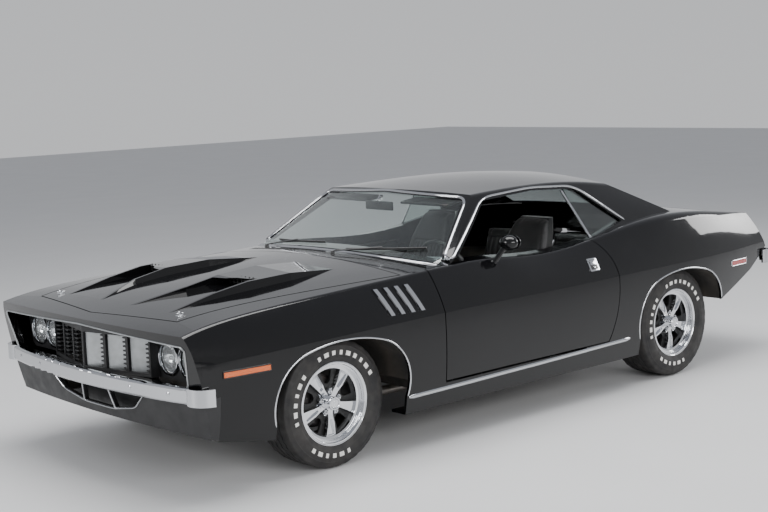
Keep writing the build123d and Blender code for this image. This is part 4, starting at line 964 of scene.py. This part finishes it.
# Front seat, left: x runs from the back towards the knees. Side line of the cushion and of the back
SEAT_MID, SEAT_HALF, BOLSTER_RISE = 402.0, 208.0, 40.0


def cushion_place(u, v):
    u, v = corner_ease(u, v)
    x = -115 + 232 * u
    base = 436 + 0.062 * (x + 90) - 14 * max(0.0, u - 0.75) / 0.25
    rise = BOLSTER_RISE * max(0.0, (abs(v) - 0.66) / 0.34) ** 0.8
    crown = 10 * (1 - v * v) * (1 - u * u)
    y = SEAT_MID + (SEAT_HALF - 8) * v
    edge = 26 * max(abs(u), abs(v)) ** 14
    return at(x, y, 352), at(x, y, base + rise + crown - edge - 12)


def back_place(u, v):
    u, v = corner_ease(u, v, 3)
    h = (u + 1) / 2
    x, z = -272 - 262 * h ** 1.05, 440 + 612 * h
    narrow = 1 - 0.10 * h - 0.30 * max(0.0, (h - 0.68) / 0.32) ** 1.6
    y = SEAT_MID + (SEAT_HALF - 8) * narrow * v
    rise = BOLSTER_RISE * max(0.0, (abs(v) - 0.66) / 0.34) ** 0.8 * (1 - h ** 3)
    edge = 24 * max(abs(u), abs(v)) ** 14
    forward = Vector((0.92, 0, 0.39))
    face = at(x, y, z) + forward * ((rise + 8 * (1 - v * v) - edge - 10) / 1000)
    rear = at(x - 88 + 22 * h, y, z - 8)
    return rear, face


def front_seats():
    def cushion_depth(p):
        x, y = p.x * 1000 - DATUM_X, p.y * 1000 - SEAT_MID
        if p.z * 1000 < 415:
            return 3.0 * groove(p.z * 1000 - 400, 4)
        across = max(groove(y - k * 33, 7) for k in (-3.5, -2.5, -1.5, -0.5, 0.5, 1.5, 2.5,
                                                     3.5)) if -290 < x < 62 else 0.0
        frame_seam = max(groove(abs(y) - 138, 7), groove(x - 70, 7) if abs(y) < 138 else 0.0)
        return 4.5 * max(across if abs(y) < 136 else 0.0, frame_seam)

    def back_depth(p):
        x, y, z = p.x * 1000 - DATUM_X, p.y * 1000 - SEAT_MID, p.z * 1000
        line_x = -272 - 262 * ((z - 440) / 612)
        if x < line_x - 42:
            return 0.0
        flutes = max(groove(y - k * 31, 7) for k in (-3.5, -2.5, -1.5, -0.5, 0.5, 1.5, 2.5,
                                                     3.5)) if 500 < z < 842 else 0.0
        half = 132 - 0.03 * (z - 500)
        frame_seam = max(groove(abs(y) - half, 7) if z < 858 else 0.0,
                         groove(z - 858, 7) if abs(y) < half else 0.0)
        return 4.5 * max(flutes if abs(y) < half - 2 else 0.0, frame_seam)

    cushion = plump(pad_slab(cushion_place), 9)
    back = plump(pad_slab(back_place, 32, 20), 9)
    for mesh, depth in ((cushion, cushion_depth), (back, back_depth)):
        soften(mesh, 3)
        press_seams(mesh, depth)
    padded_piece("seat_cushion_right", cushion, mirrored_in_y=True)
    padded_piece("seat_back_right", back, mirrored_in_y=True)
    padded_piece("seat_cushion_left", cushion)
    padded_piece("seat_back_left", back)
    for side, s in SIDES:
        base = Shape().block(at(-118, s * SEAT_MID, 318), (400, 372, 70), 10)
        base.block(at(-120, s * SEAT_MID, 258), (330, 330, 54), 6)
        base.piece(f"seat_base_{side}", "plastic")
        runners = Shape()
        for y in (250, 550):
            runners.block(at(-110, s * y, 240), (430, 26, 22), 4)
        runners.piece(f"seat_runners_{side}", "steel")
        shell = Shape()
        rings = []
        for k in range(15):
            h = k / 14
            x, z = -272 - 262 * h ** 1.05 - 62 + 10 * h, 400 + 640 * h
            half = (SEAT_HALF - 14) * (1 - 0.10 * h - 0.30 * max(0.0, (h - 0.68) / 0.32) ** 1.6)
            rings.append([at(x + dx, s * (SEAT_MID + half * b), z) for dx, b in
                          ((0, -1), (22, -0.97), (30, 0), (22, 0.97), (0, 1), (-28, 0.86), (-36, 0),
                           (-28, -0.86))])
        shell.skin(rings).piece(f"seat_shell_{side}", "plastic", crease=60)
        Shape().turn([(0, 10), (16, 9), (20, 5), (21, 0), (21, -8), (0, -8)],
                     at(-300, s * (SEAT_MID + 204), 436),
                     (0, s, 0), 32).piece(f"seat_pivot_cover_{side}", "chrome")
        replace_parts(bpy.data.objects[f"seat_base_{side}"], f"bucket_seat_{side}")


def bench_cushion_place(u, v):
    u, v = corner_ease(u, v)
    x = -868 + 168 * u
    y = 295 + 278 * v
    dish = 18 * (1 - (v * 0.9) ** 2) * (1 - u * u)
    edge = 26 * max(abs(u), abs(v)) ** 14
    return at(x, max(y, 14), 440 if y < 190 else 420), at(x, y, 474 + 0.085 * (x + 868) - dish * 0.4 - edge)


def bench_back_place(u, v):
    u, v = corner_ease(u, v, 3)
    h = (u + 1) / 2
    x, z = -1030 - 140 * h, 480 + 392 * h
    y = 295 + 278 * v
    edge = 24 * max(abs(u), abs(v)) ** 14
    forward = Vector((0.94, 0, 0.34))
    face = at(x, y, z) + forward * ((6 - edge) / 1000)
    return at(x - 66, y, z - 6), face


def rear_bench():
    def cushion_depth(p):
        x, y = p.x * 1000 - DATUM_X, abs(p.y * 1000) - 295
        flutes = max(groove(y - k * 46, 8) for k in (-4, -3, -2, -1, 0, 1, 2, 3,
                                                     4)) if -1000 < x < -760 else 0.0
        return 5.0 * max(flutes if abs(y) < 215 else 0.0, groove(abs(y) - 222, 8), groove(x + 745, 8))

    def back_depth(p):
        y, z = abs(p.y * 1000) - 295, p.z * 1000
        flutes = max(groove(y - k * 46, 8) for k in (-4, -3, -2, -1, 0, 1, 2, 3, 4)) if 520 < z < 800 else 0.0
        return 5.0 * max(flutes if abs(y) < 215 else 0.0, groove(abs(y) - 222, 8), groove(z - 812, 8))

    cushion = plump(pad_slab(bench_cushion_place), 9)
    back = plump(pad_slab(bench_back_place), 9)
    for mesh, depth in ((cushion, cushion_depth), (back, back_depth)):
        soften(mesh, 3)
        press_seams(mesh, depth)
    padded_piece("bench_cushion_right", cushion, fine=False, mirrored_in_y=True)
    padded_piece("bench_back_right", back, fine=False, mirrored_in_y=True)
    padded_piece("bench_cushion_left", cushion, fine=False)
    padded_piece("bench_back_left", back, fine=False)
    base = Shape().block(at(-880, 0, 438), (340, 1150, 20), 6)
    base.block(at(-712, 372, 360), (30, 400, 170), 8)
    base.block(at(-712, -372, 360), (30, 400, 170), 8)
    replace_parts(base.piece("bench_base", "carpet"), "rear_seat")


def dashboard_trim():
    """Dials, panels, knobs and vents of the dashboard, with the horn pad, horn ring and stalk."""
    faces, rims, marks, needles = Shape(), Shape(), Shape(), Shape()
    back = Vector((-1, 0, 0))
    for y, r in ((300, 30), (366, 44), (446, 44), (512, 30)):
        centre = at(261, y, 822)
        faces.turn([(0, 1), (r - 3, 1), (r - 3, -2), (0, -2)], centre, back, 40)
        rims.turn([(r - 3, -2), (r - 3, 3), (r - 1, 5), (r + 2, 3), (r + 3, -2)], centre, back, 48)
        for k in range(11):
            a = radians(220 - 26 * k)
            spot = centre + Vector((-0.0015, -cos(a) * (r - 8) / 1000, sin(a) * (r - 8) / 1000))
            marks.block(spot, (1.0, 1.4, 5.5), 0.3, Matrix.Rotation(a - pi / 2, 3, "X"))
        needle = radians(205)
        mid = centre + Vector((-0.003, -cos(needle) * (r - 16) / 2000, sin(needle) * (r - 16) / 2000))
        needles.block(mid, (1.2, 2.2, r - 12), 0.4, Matrix.Rotation(needle - pi / 2, 3, "X"))
        needles.turn([(0, 5), (3.5, 4.5), (4, 0), (0, 0)], centre, back, 20)
    faces.piece("dial_faces", "dial")
    rims.piece("dial_rims", "chrome")
    marks.piece("dial_marks", "white")
    needles.piece("dial_needles", "amber")
    tilt = Matrix.Rotation(radians(-10), 3, "Y")
    panel = Shape().block(at(290, 60, 776), (10, 250, 96), 5, tilt)
    panel.block(at(289, -420, 764), (8, 420, 112), 6, tilt)
    panel.piece("dash_panels", "satin")
    knobs = Shape()
    for y in (-20, 140):
        knobs.turn([(0, 16), (9, 15), (11, 12), (11, 0), (0, 0)], at(287, y, 772), back, 24)
    for k in range(5):
        knobs.block(at(285, 12 + 24 * k, 756), (8, 18, 9), 2)
    for y in (280, 330, 480, 530):
        knobs.turn([(0, 14), (7, 13), (8, 10), (5, 8), (5, 0), (0, 0)], at(292, y, 752), back, 20)
    knobs.turn([(0, 8), (9, 7), (11, 4), (11, 0), (0, 0)], at(283, -420, 800), back, 24)
    knobs.piece("dash_knobs", "chrome")
    vents = Shape()
    for y in (-640, 640, 196, -150):
        for k in range(5):
            vents.block(at(289, y, 790 + 9 * k), (10, 74 if abs(y) > 300 else 60, 3), 1)
    vents.piece("dash_vents", "plastic")
    wheel_centre = at(205, 400, 800)
    axis = Vector((-cos(radians(20)), 0, sin(radians(20))))
    pad = Shape().turn([(0, 30), (22, 29), (40, 25), (47, 19), (47, 12), (0, 12)], wheel_centre, axis, 48)
    pad.turn([(0, 33), (10, 33), (14, 31), (15, 28), (0, 28)], wheel_centre, axis, 32)
    pad.piece("horn_pad", "vinyl", "steering_wheel")
    ring = Shape().turn([(46, 20), (46, 23), (50, 23), (52, 20), (50, 16)], wheel_centre, axis, 48)
    ring.piece("horn_ring", "chrome", "steering_wheel")
    stalk = [at(232, 425, 796), at(232, 480, 812), at(226, 520, 826)]
    Shape().tube(eased(stalk, 20, 8), 4, 10).turn([(0, 9), (6, 7), (8, 2), (6, -6), (0, -8)],
                                                  at(225, 524, 827),
                                                 (0, 1, 0.3), 20).piece("column_stalk", "chrome")


def console_trim():
    """Shift lever with its boot and ball knob, and the plates and lid of the console."""
    top = 500
    plate = Shape().plate(rounded_outline(190, 120, 16), at(120, 0, top - 1), (1, 0, 0), (0, 1, 0), 3, 1)
    plate.plate(rounded_outline(230, 110, 12), at(-160, 0, top - 1), (1, 0, 0), (0, 1, 0), 4, 2)
    plate.piece("console_plates", "chrome")
    boot = Shape()
    for k in range(5):
        r, z = 46 - 7 * k, 2 + 11 * k
        boot.turn([(0, z), (r, z), (r + 2, z + 4), (r - 3, z + 9), (0, z + 11)], at(120, 0, top), (0, 0, 1),
                  32)
    boot.piece("shift_boot", "vinyl")
    lever = Shape().tube(eased([at(120, 0, 540), at(120, 0, 620)], 10, 10), 10.5, 16)
    lever.piece("shift_lever", "chrome")
    knob = [(0, 25.5)] + [(25.5 * sin(radians(a)), 25.5 * cos(radians(a))) for a in range(15, 166,
                                                            15)] + [(9, -26), (0, -26)]
    Shape().turn(knob, at(120, 0, 630), (0, 0, 1), 32).piece("shift_knob", "plastic")
    lid = Shape().block(at(-170, 0, 508), (220, 150, 18), 7)
    lid.piece("console_lid", "vinyl")


def door_cards():
    """Inner trim of the doors: card, armrest and handles."""
    for side, s in SIDES:
        body = f"door_{side}"
        inner = surface(body)
        card = Shape()
        for u1, u2, z1, z2 in ((-520, 660, 380, 560), (-520, 660, 580, 840)):
            outward = Vector((0, -s, 0))
            count = 12
            grid = []
            for i in range(count + 1):
                row = []
                for z in (z1, (z1 + z2) / 2, z2):
                    x = u1 + (u2 - u1) * i / count
                    hit = laid(inner, [at(x, 0, z)], (0, s, 0))[0][0]
                    row.append(hit)
                grid.append([p - outward * 0.001 for p in row] + [p + outward * 0.009 for p in reversed(row)])
            card.skin(grid)
        card.piece(f"door_card_{side}", "vinyl", body, 50)
        spot = laid(inner, [at(-60, 0, 600)], (0, s, 0))[0][0]
        rest = Shape().block(spot + Vector((0, -s * 0.030, 0)), (360, 62, 56), 16)
        rest.piece(f"armrest_{side}", "vinyl", body)
        spot = laid(inner, [at(-330, 0, 520)], (0, s, 0))[0][0]
        crank = Shape().turn([(0, 22), (16, 21), (20, 14), (20, 0), (0, 0)], spot, (0, -s, 0), 28)
        arm = [spot + Vector((0, -s * 0.018, 0)), spot + Vector((0.06, -s * 0.026, -0.06))]
        crank.tube(eased(arm, 5, 8), 6, 10)
        crank.turn([(0, 26), (8, 25), (10, 12), (8, 0), (0, 0)], arm[1], (0, -s, 0), 20)
        pull = laid(inner, [at(380, 0, 660)], (0, s, 0))[0][0]
        crank.block(pull + Vector((0, -s * 0.014, 0)), (120, 14, 18), 5)
        crank.piece(f"door_handles_{side}", "chrome", body)


def cabin_fittings():
    """Interior mirror, sun visors, pedals and floor mats."""
    mirror = at(330, 0, 1168)
    Shape().block(mirror, (16, 230, 52), 7).piece("rear_view_mirror", "plastic")
    Shape().plate(rounded_outline(222, 44, 10), mirror - Vector((0.0078, 0, 0)), (0, -1, 0), (0, 0, 1), 1,
                  0.4).piece(
        "rear_view_glass", "mirror")
    Shape().tube(eased([mirror, at(345, 0, 1200), at(322, 0, 1232)], 10, 6), 5, 10).piece("rear_view_stem",
                                                            "chrome")
    visors = Shape()
    for y in (330, -330):
        visors.block(at(232, y, 1196), (130, 380, 16), 7, Matrix.Rotation(radians(8), 3, "Y"))
    visors.piece("sun_visors", "vinyl")
    pedals = Shape()
    for y, x, z in ((440, 600, 380), (365, 600, 380)):
        pedals.block(at(x, y, z), (14, 58, 48), 4, Matrix.Rotation(radians(-25), 3, "Y"))
        pedals.tube(eased([at(x + 8, y, z), at(x + 60, y, z + 120), at(x + 90, y, z + 230)], 30, 12), 6, 8)
    pedals.block(at(612, 292, 340), (12, 46, 120), 4, Matrix.Rotation(radians(-35), 3, "Y"))
    pedals.piece("pedals", "plastic")
    mats = Shape()
    for y in (-430, 430):
        mats.block(at(340, y, 232), (440, 400, 10), 4)
        mats.block(at(-580, y, 232), (260, 400, 10), 4)
    mats.piece("floor_mats", "carpet")


def hood_and_cowl():
    """Scoop grilles, hood pins, cowl louvres and wipers."""
    hood = surface("hood")
    for s, side in ((1, "left"), (-1, "right")):
        slats = Shape()
        for k in range(7):
            y = s * (262 + 33 * k)
            slats.block(at(1604, y, 922), (6, 5, 44), 1)
        for z in (906, 922, 938):
            slats.block(at(1604, s * 361, z), (5, 224, 3), 0.8)
        slats.piece(f"scoop_grille_{side}", "satin", "hood")
        place, normal = laid(hood, [at(2118, s * 560, 1300)], (0, 0, -1))[0]
        pin = Shape().turn([(0, 2.2), (16, 2), (19, 0.6), (19, -1), (0, -1)], place, normal, 36)
        pin.turn([(0, 20), (3.4, 19), (5, 15), (5, 0), (0, 0)], place, normal, 20)
        ahead = Vector((1, 0, 0))
        clip = [place + normal * 0.011 + ahead * a / 1000 + Vector((0, b / 1000, 0)) for a, b in
                ((-22, 0), (16, 0), (24, 5), (16, 10), (-12, 9), (-22, 14))]
        pin.tube(eased(clip, 8, 3), 1.3, 8).piece(f"hood_pin_{side}", "chrome", "hood")
    cowl = surface("cowl")
    slots = Shape()
    for k in range(-17, 18):
        y = 36 * k
        x = 836 - 0.00009 * y * y
        track = laid(cowl, [at(x + d, y, 1300) for d in (-26, -13, 0, 13, 26)], (0, 0, -1))
        if len(track) == 5:
            slots.sweep(track, half_round(9, 1.6), tip=0.5)
    slots.piece("cowl_louvres", "satin")
    glass = surface("windshield")
    for side, y_pivot, y_tip in (("left", 150, 640), ("right", -560, -70)):
        pivot, up = laid(cowl, [at(glass_x(y_pivot, 940) + 62, y_pivot, 1300)], (0, 0, -1))[0]
        base = Shape().turn([(0, 16), (9, 14), (13, 4), (13, -2), (0, -2)], pivot, up, 24)
        line = [at(3000, y_pivot + (y_tip - y_pivot) * k / 12, 962 + 22 * k / 12) for k in range(13)]
        track = laid(glass, line, (-1, 0, 0))
        blade = [(p + n * 0.010, n) for p, n in track]
        Shape().sweep(blade, [(-2, -9), (-3, 0), (-2.5, 5), (2.5, 5), (3, 0), (2, -9)]).piece(
            f"wiper_blade_{side}", "plastic")
        middle, normal = blade[6]
        arm = eased([pivot + up * 0.012, pivot + up * 0.018 + Vector((0.0, 0.02, 0)),
                     middle + normal * 0.012], 10, 12)
        base.sweep([(p, normal) for p in arm], [(-5, -2), (-4, 2), (4, 2), (5, -2)], tip=0.8)
        base.piece(f"wiper_arm_{side}", "plastic")


def engine_dressing():
    """Engine top, covers, air cleaner, pulleys, belt, fan, hoses, radiator top, battery and booster."""
    motor, dark, bright = Shape(), Shape(), Shape()
    motor.block(at(1320, 0, 700), (560, 300, 130), 12)
    for s in (1, -1):
        lean = Matrix.Rotation(radians(-28 * s), 3, "X")
        cover = at(1320, s * 196, 762)
        dark.block(cover, (500, 120, 66), 16, lean)
        for k in range(6):
            dark.block(cover + lean @ Vector(((-200 + 80 * k) / 1000, 0, 0.035)), (10, 90, 8), 3, lean)
        bright.turn([(0, 16), (17, 14), (20, 4), (20, -6), (0, -6)], cover + lean @ Vector((0.17, 0, 0.036)),
                    lean @ Vector((0, 0, 1)), 28)
    motor.piece("engine_block_top", "motor")
    dark.piece("valve_covers", "satin")
    cleaner = Shape().turn([(0, 34), (30, 34), (150, 26), (172, 18), (176, 8), (176, -26), (168, -34),
                            (0, -34)],
                           at(1330, 0, 818), (0, 0, 1), 64)
    cleaner.piece("air_cleaner", "motor")
    bright.turn([(0, 46), (8, 45), (14, 38), (16, 33), (0, 33)], at(1330, 0, 818), (0, 0, 1), 24)
    bright.turn([(158, 27.5), (164, 27), (166, 22), (158, 22)], at(1330, 0, 818), (0, 0, 1), 64)
    pulleys = Shape()
    for y, z, r in ((0, 470, 88), (0, 640, 76), (-170, 640, 44), (150, 560, 60)):
        pulleys.turn([(0, 12), (r * 0.4, 12), (r * 0.5, 4), (r - 8, 4), (r, 12), (r - 7, 4), (r, -8),
                      (0, -8)],
                     at(1646, y, z), (1, 0, 0), 48)
    pulleys.piece("pulleys", "satin")
    belt = Shape()
    path = eased([at(1652, y, z) for y,
                  z in ((-92, 470), (-214, 640), (-150, 690), (0, 722), (80, 660), (92, 470),
                                              (0, 380))], 60, 20, loop=True)
    belt.sweep([(p, Vector((1, 0, 0))) for p in path], [(-4, -6), (-4, 6), (4, 6), (4, -6)], loop=True)
    belt.piece("drive_belt", "rubber")
    fan = Shape().turn([(0, 26), (36, 24), (40, 8), (40, 0), (0, 0)], at(1700, 0, 620), (1, 0, 0), 32)
    for k in range(7):
        a = 2 * pi * k / 7
        turn = Matrix.Rotation(a, 3, "X") @ Matrix.Rotation(radians(28), 3, "Z")
        spot = at(1712, 0, 620) + Matrix.Rotation(a, 3, "X") @ Vector((0, 0.128, 0))
        fan.block(spot, (4, 186, 62), 1.5, turn)
    fan.piece("cooling_fan", "steel")
    hoses = Shape().tube(eased([at(1560, 60, 800), at(1700, 90, 806), at(1900, 190, 780),
                                at(2024, 210, 742)], 60, 16),
                         19, 12)
    hoses.tube(eased([at(1640, -90, 520), at(1800, -140, 470), at(2024, -230, 450)], 60, 16), 19, 12)
    hoses.tube(eased([at(1180, -120, 790), at(960, -150, 800), at(818, -180, 700)], 60, 16), 9, 10)
    hoses.piece("coolant_hoses", "rubber")
    tops = Shape().block(at(2055, 0, 786), (58, 690, 22), 8)
    tops.turn([(0, 20), (20, 18), (24, 12), (24, 4), (18, 0), (0, 0)], at(2055, -250, 797), (0, 0, 1), 28)
    tops.piece("radiator_top_tank", "satin")
    fins = Shape()
    for k in range(33):
        fins.block(at(2078 + 3, -320 + 20 * k, 595), (5, 5, 330), 1)
    fins.piece("radiator_fins", "iron")
    battery = Shape().block(at(1960, 520, 640), (190, 150, 190), 8)
    for k in range(6):
        battery.turn([(0, 6), (9, 5), (10, 0), (0, 0)], at(1885 + 30 * k, 520, 735), (0, 0, 1), 16)
    battery.piece("battery", "plastic")
    for k, y in ((0, 480), (1, 560)):
        bright.turn([(0, 14), (8, 14), (9, 0), (0, 0)], at(1885 + 150 * k, y, 735), (0, 0, 1), 16)
    booster = at(790 + 60, 420, 700)
    dark = Shape().turn([(0, 60), (40, 58), (88, 40), (104, 20), (104, -8), (60, -34), (0, -36)], booster,
                        (1, 0, 0), 48)
    dark.block(booster + Vector((0.12, 0, 0.01)), (150, 66, 74), 10)
    dark.piece("brake_booster", "satin")
    bright.block(booster + Vector((0.12, 0, 0.056)), (120, 60, 16), 6)
    bright.piece("engine_bright_work", "chrome")


def boot_and_tail():
    """Boot mat, spare wheel, lock and bumper bolts."""
    mat = Shape().block(at(-1700, 0, 564), (560, 820, 6), 2)
    mat.piece("boot_mat", "carpet")
    spare = at(-1690, 150, 625)
    tyre = Shape().turn([(196, 90), (250, 98), (300, 88), (318, 60), (322, 0), (318, -50), (300, -58),
                         (196, -58)],
                        spare, (0, 0, 1), 72)
    tyre.piece("spare_tyre", "rubber")
    rim = Shape().turn([(40, 60), (110, 62), (150, 30), (180, 34), (190, 78), (198, 84), (198, 70), (188, 20),
                        (150, 14), (110, 44), (40, 44)], spare, (0, 0, 1), 64)
    rim.piece("spare_rim", "iron")
    tail = surface("tail_panel", "tail_lamps", "deck_lid")
    place, normal = laid(tail, [at(-3000, 0, 770)], (1, 0, 0))[0]
    lock = Shape().turn([(0, 3.5), (9, 3.5), (11, 2.5), (15, 2), (16.5, -1), (0, -1)], place, normal, 32)
    lock.piece("boot_lock", "chrome")
    bolts = Shape()
    for y in (-700, -430, 430, 700):
        for name, x0, direction in (("front_bumper", 3000, -1), ("rear_bumper", -3000, 1)):
            z = 510 if direction < 0 else 647
            hit = laid(surface(name), [at(x0, y, z)], (direction, 0, 0))
            if hit:
                bolts.turn([(0, 3.6), (7, 2.8), (11, 0.6), (11, -1), (0, -1)], hit[0][0], hit[0][1], 24)
    bolts.piece("bumper_bolts", "chrome")


# Stage: pale floor, soft lights and the camera at the photograph's viewing angle
CAMERA_AT = Vector((5.7125, 5.9909, 1.9184))
CAMERA_YAW, CAMERA_PITCH, CAMERA_ROLL = radians(228.038), radians(-7.405), radians(-2.0186)
LENS_MM, SENSOR_MM = 65.03, 36.0


def set_camera():
    data = bpy.data.cameras.new("camera")
    data.lens, data.sensor_width = LENS_MM, SENSOR_MM
    data.clip_end = 200.0
    ahead = Vector((cos(CAMERA_PITCH) * cos(CAMERA_YAW), cos(CAMERA_PITCH) * sin(CAMERA_YAW),
                    sin(CAMERA_PITCH)))
    right = ahead.cross(Vector((0, 0, 1))).normalized()
    up = right.cross(ahead)
    c, s = cos(CAMERA_ROLL), sin(CAMERA_ROLL)
    rolled_right, rolled_up = c * right + s * up, c * up - s * right
    turn = Matrix((rolled_right, rolled_up, -ahead)).transposed()
    camera = bpy.data.objects.new("camera", data)
    camera.matrix_world = Matrix.Translation(CAMERA_AT) @ turn.to_4x4()
    bpy.context.scene.collection.objects.link(camera)
    bpy.context.scene.camera = camera


def area_light(name, at, towards, size, size_y, power, colour=(1, 1, 1)):
    data = bpy.data.lights.new(name, "AREA")
    data.shape, data.size, data.size_y, data.energy, data.color = "RECTANGLE", size, size_y, power, colour
    lamp = bpy.data.objects.new(name, data)
    lamp.location = at
    lamp.rotation_euler = (Vector(towards) - Vector(at)).to_track_quat("-Z", "Y").to_euler()
    bpy.context.scene.collection.objects.link(lamp)


def set_stage():
    world = bpy.data.worlds.new("soft_studio")
    world.use_nodes = True
    tree = world.node_tree
    background = tree.nodes["Background"]
    where = tree.nodes.new("ShaderNodeTexCoord")
    split = tree.nodes.new("ShaderNodeSeparateXYZ")
    ramp = tree.nodes.new("ShaderNodeValToRGB")
    tree.links.new(where.outputs["Generated"], split.inputs["Vector"])
    tree.links.new(split.outputs["Z"], ramp.inputs["Fac"])
    tree.links.new(ramp.outputs["Color"], background.inputs["Color"])
    ramp.color_ramp.elements[0].position, ramp.color_ramp.elements[0].color = 0.0, (0.80, 0.81, 0.83, 1)
    ramp.color_ramp.elements[1].position, ramp.color_ramp.elements[1].color = 0.75, (0.55, 0.57, 0.62, 1)
    background.inputs["Strength"].default_value = 0.8
    bpy.context.scene.world = world
    bpy.ops.mesh.primitive_plane_add(size=60, location=(0, 0, -0.0005))
    floor = bpy.context.object
    floor.name = "pale_floor"
    floor_finish = Finish("pale_floor_paint", Base_Color=(0.62, 0.62, 0.62), Metallic=0.0)
    floor_finish.uneven("Roughness", 0.55, 0.7, scale=1.5)
    floor.data.materials.append(floor_finish.material)
    area_light("overhead", (0.5, 0.5, 6.0), (0, 0, 0.5), 6.5, 3.0, 520)
    area_light("left_wall", (2.0, 8.0, 3.2), (0, 0, 0.7), 7.0, 2.2, 420)
    area_light("front_fill", (8.5, -2.0, 3.0), (1.5, 0, 0.6), 3.0, 2.0, 220)
    area_light("rear_fill", (-8.0, 3.0, 3.4), (-1.5, 0, 0.6), 3.0, 2.4, 220)


side_trim()
glass_trim()
nose_trim()
door_hardware()
wheels_and_tyres()
lamp_trim()
front_seats()
rear_bench()
dashboard_trim()
console_trim()
door_cards()
cabin_fittings()
hood_and_cowl()
engine_dressing()
boot_and_tail()
set_camera()
set_stage()
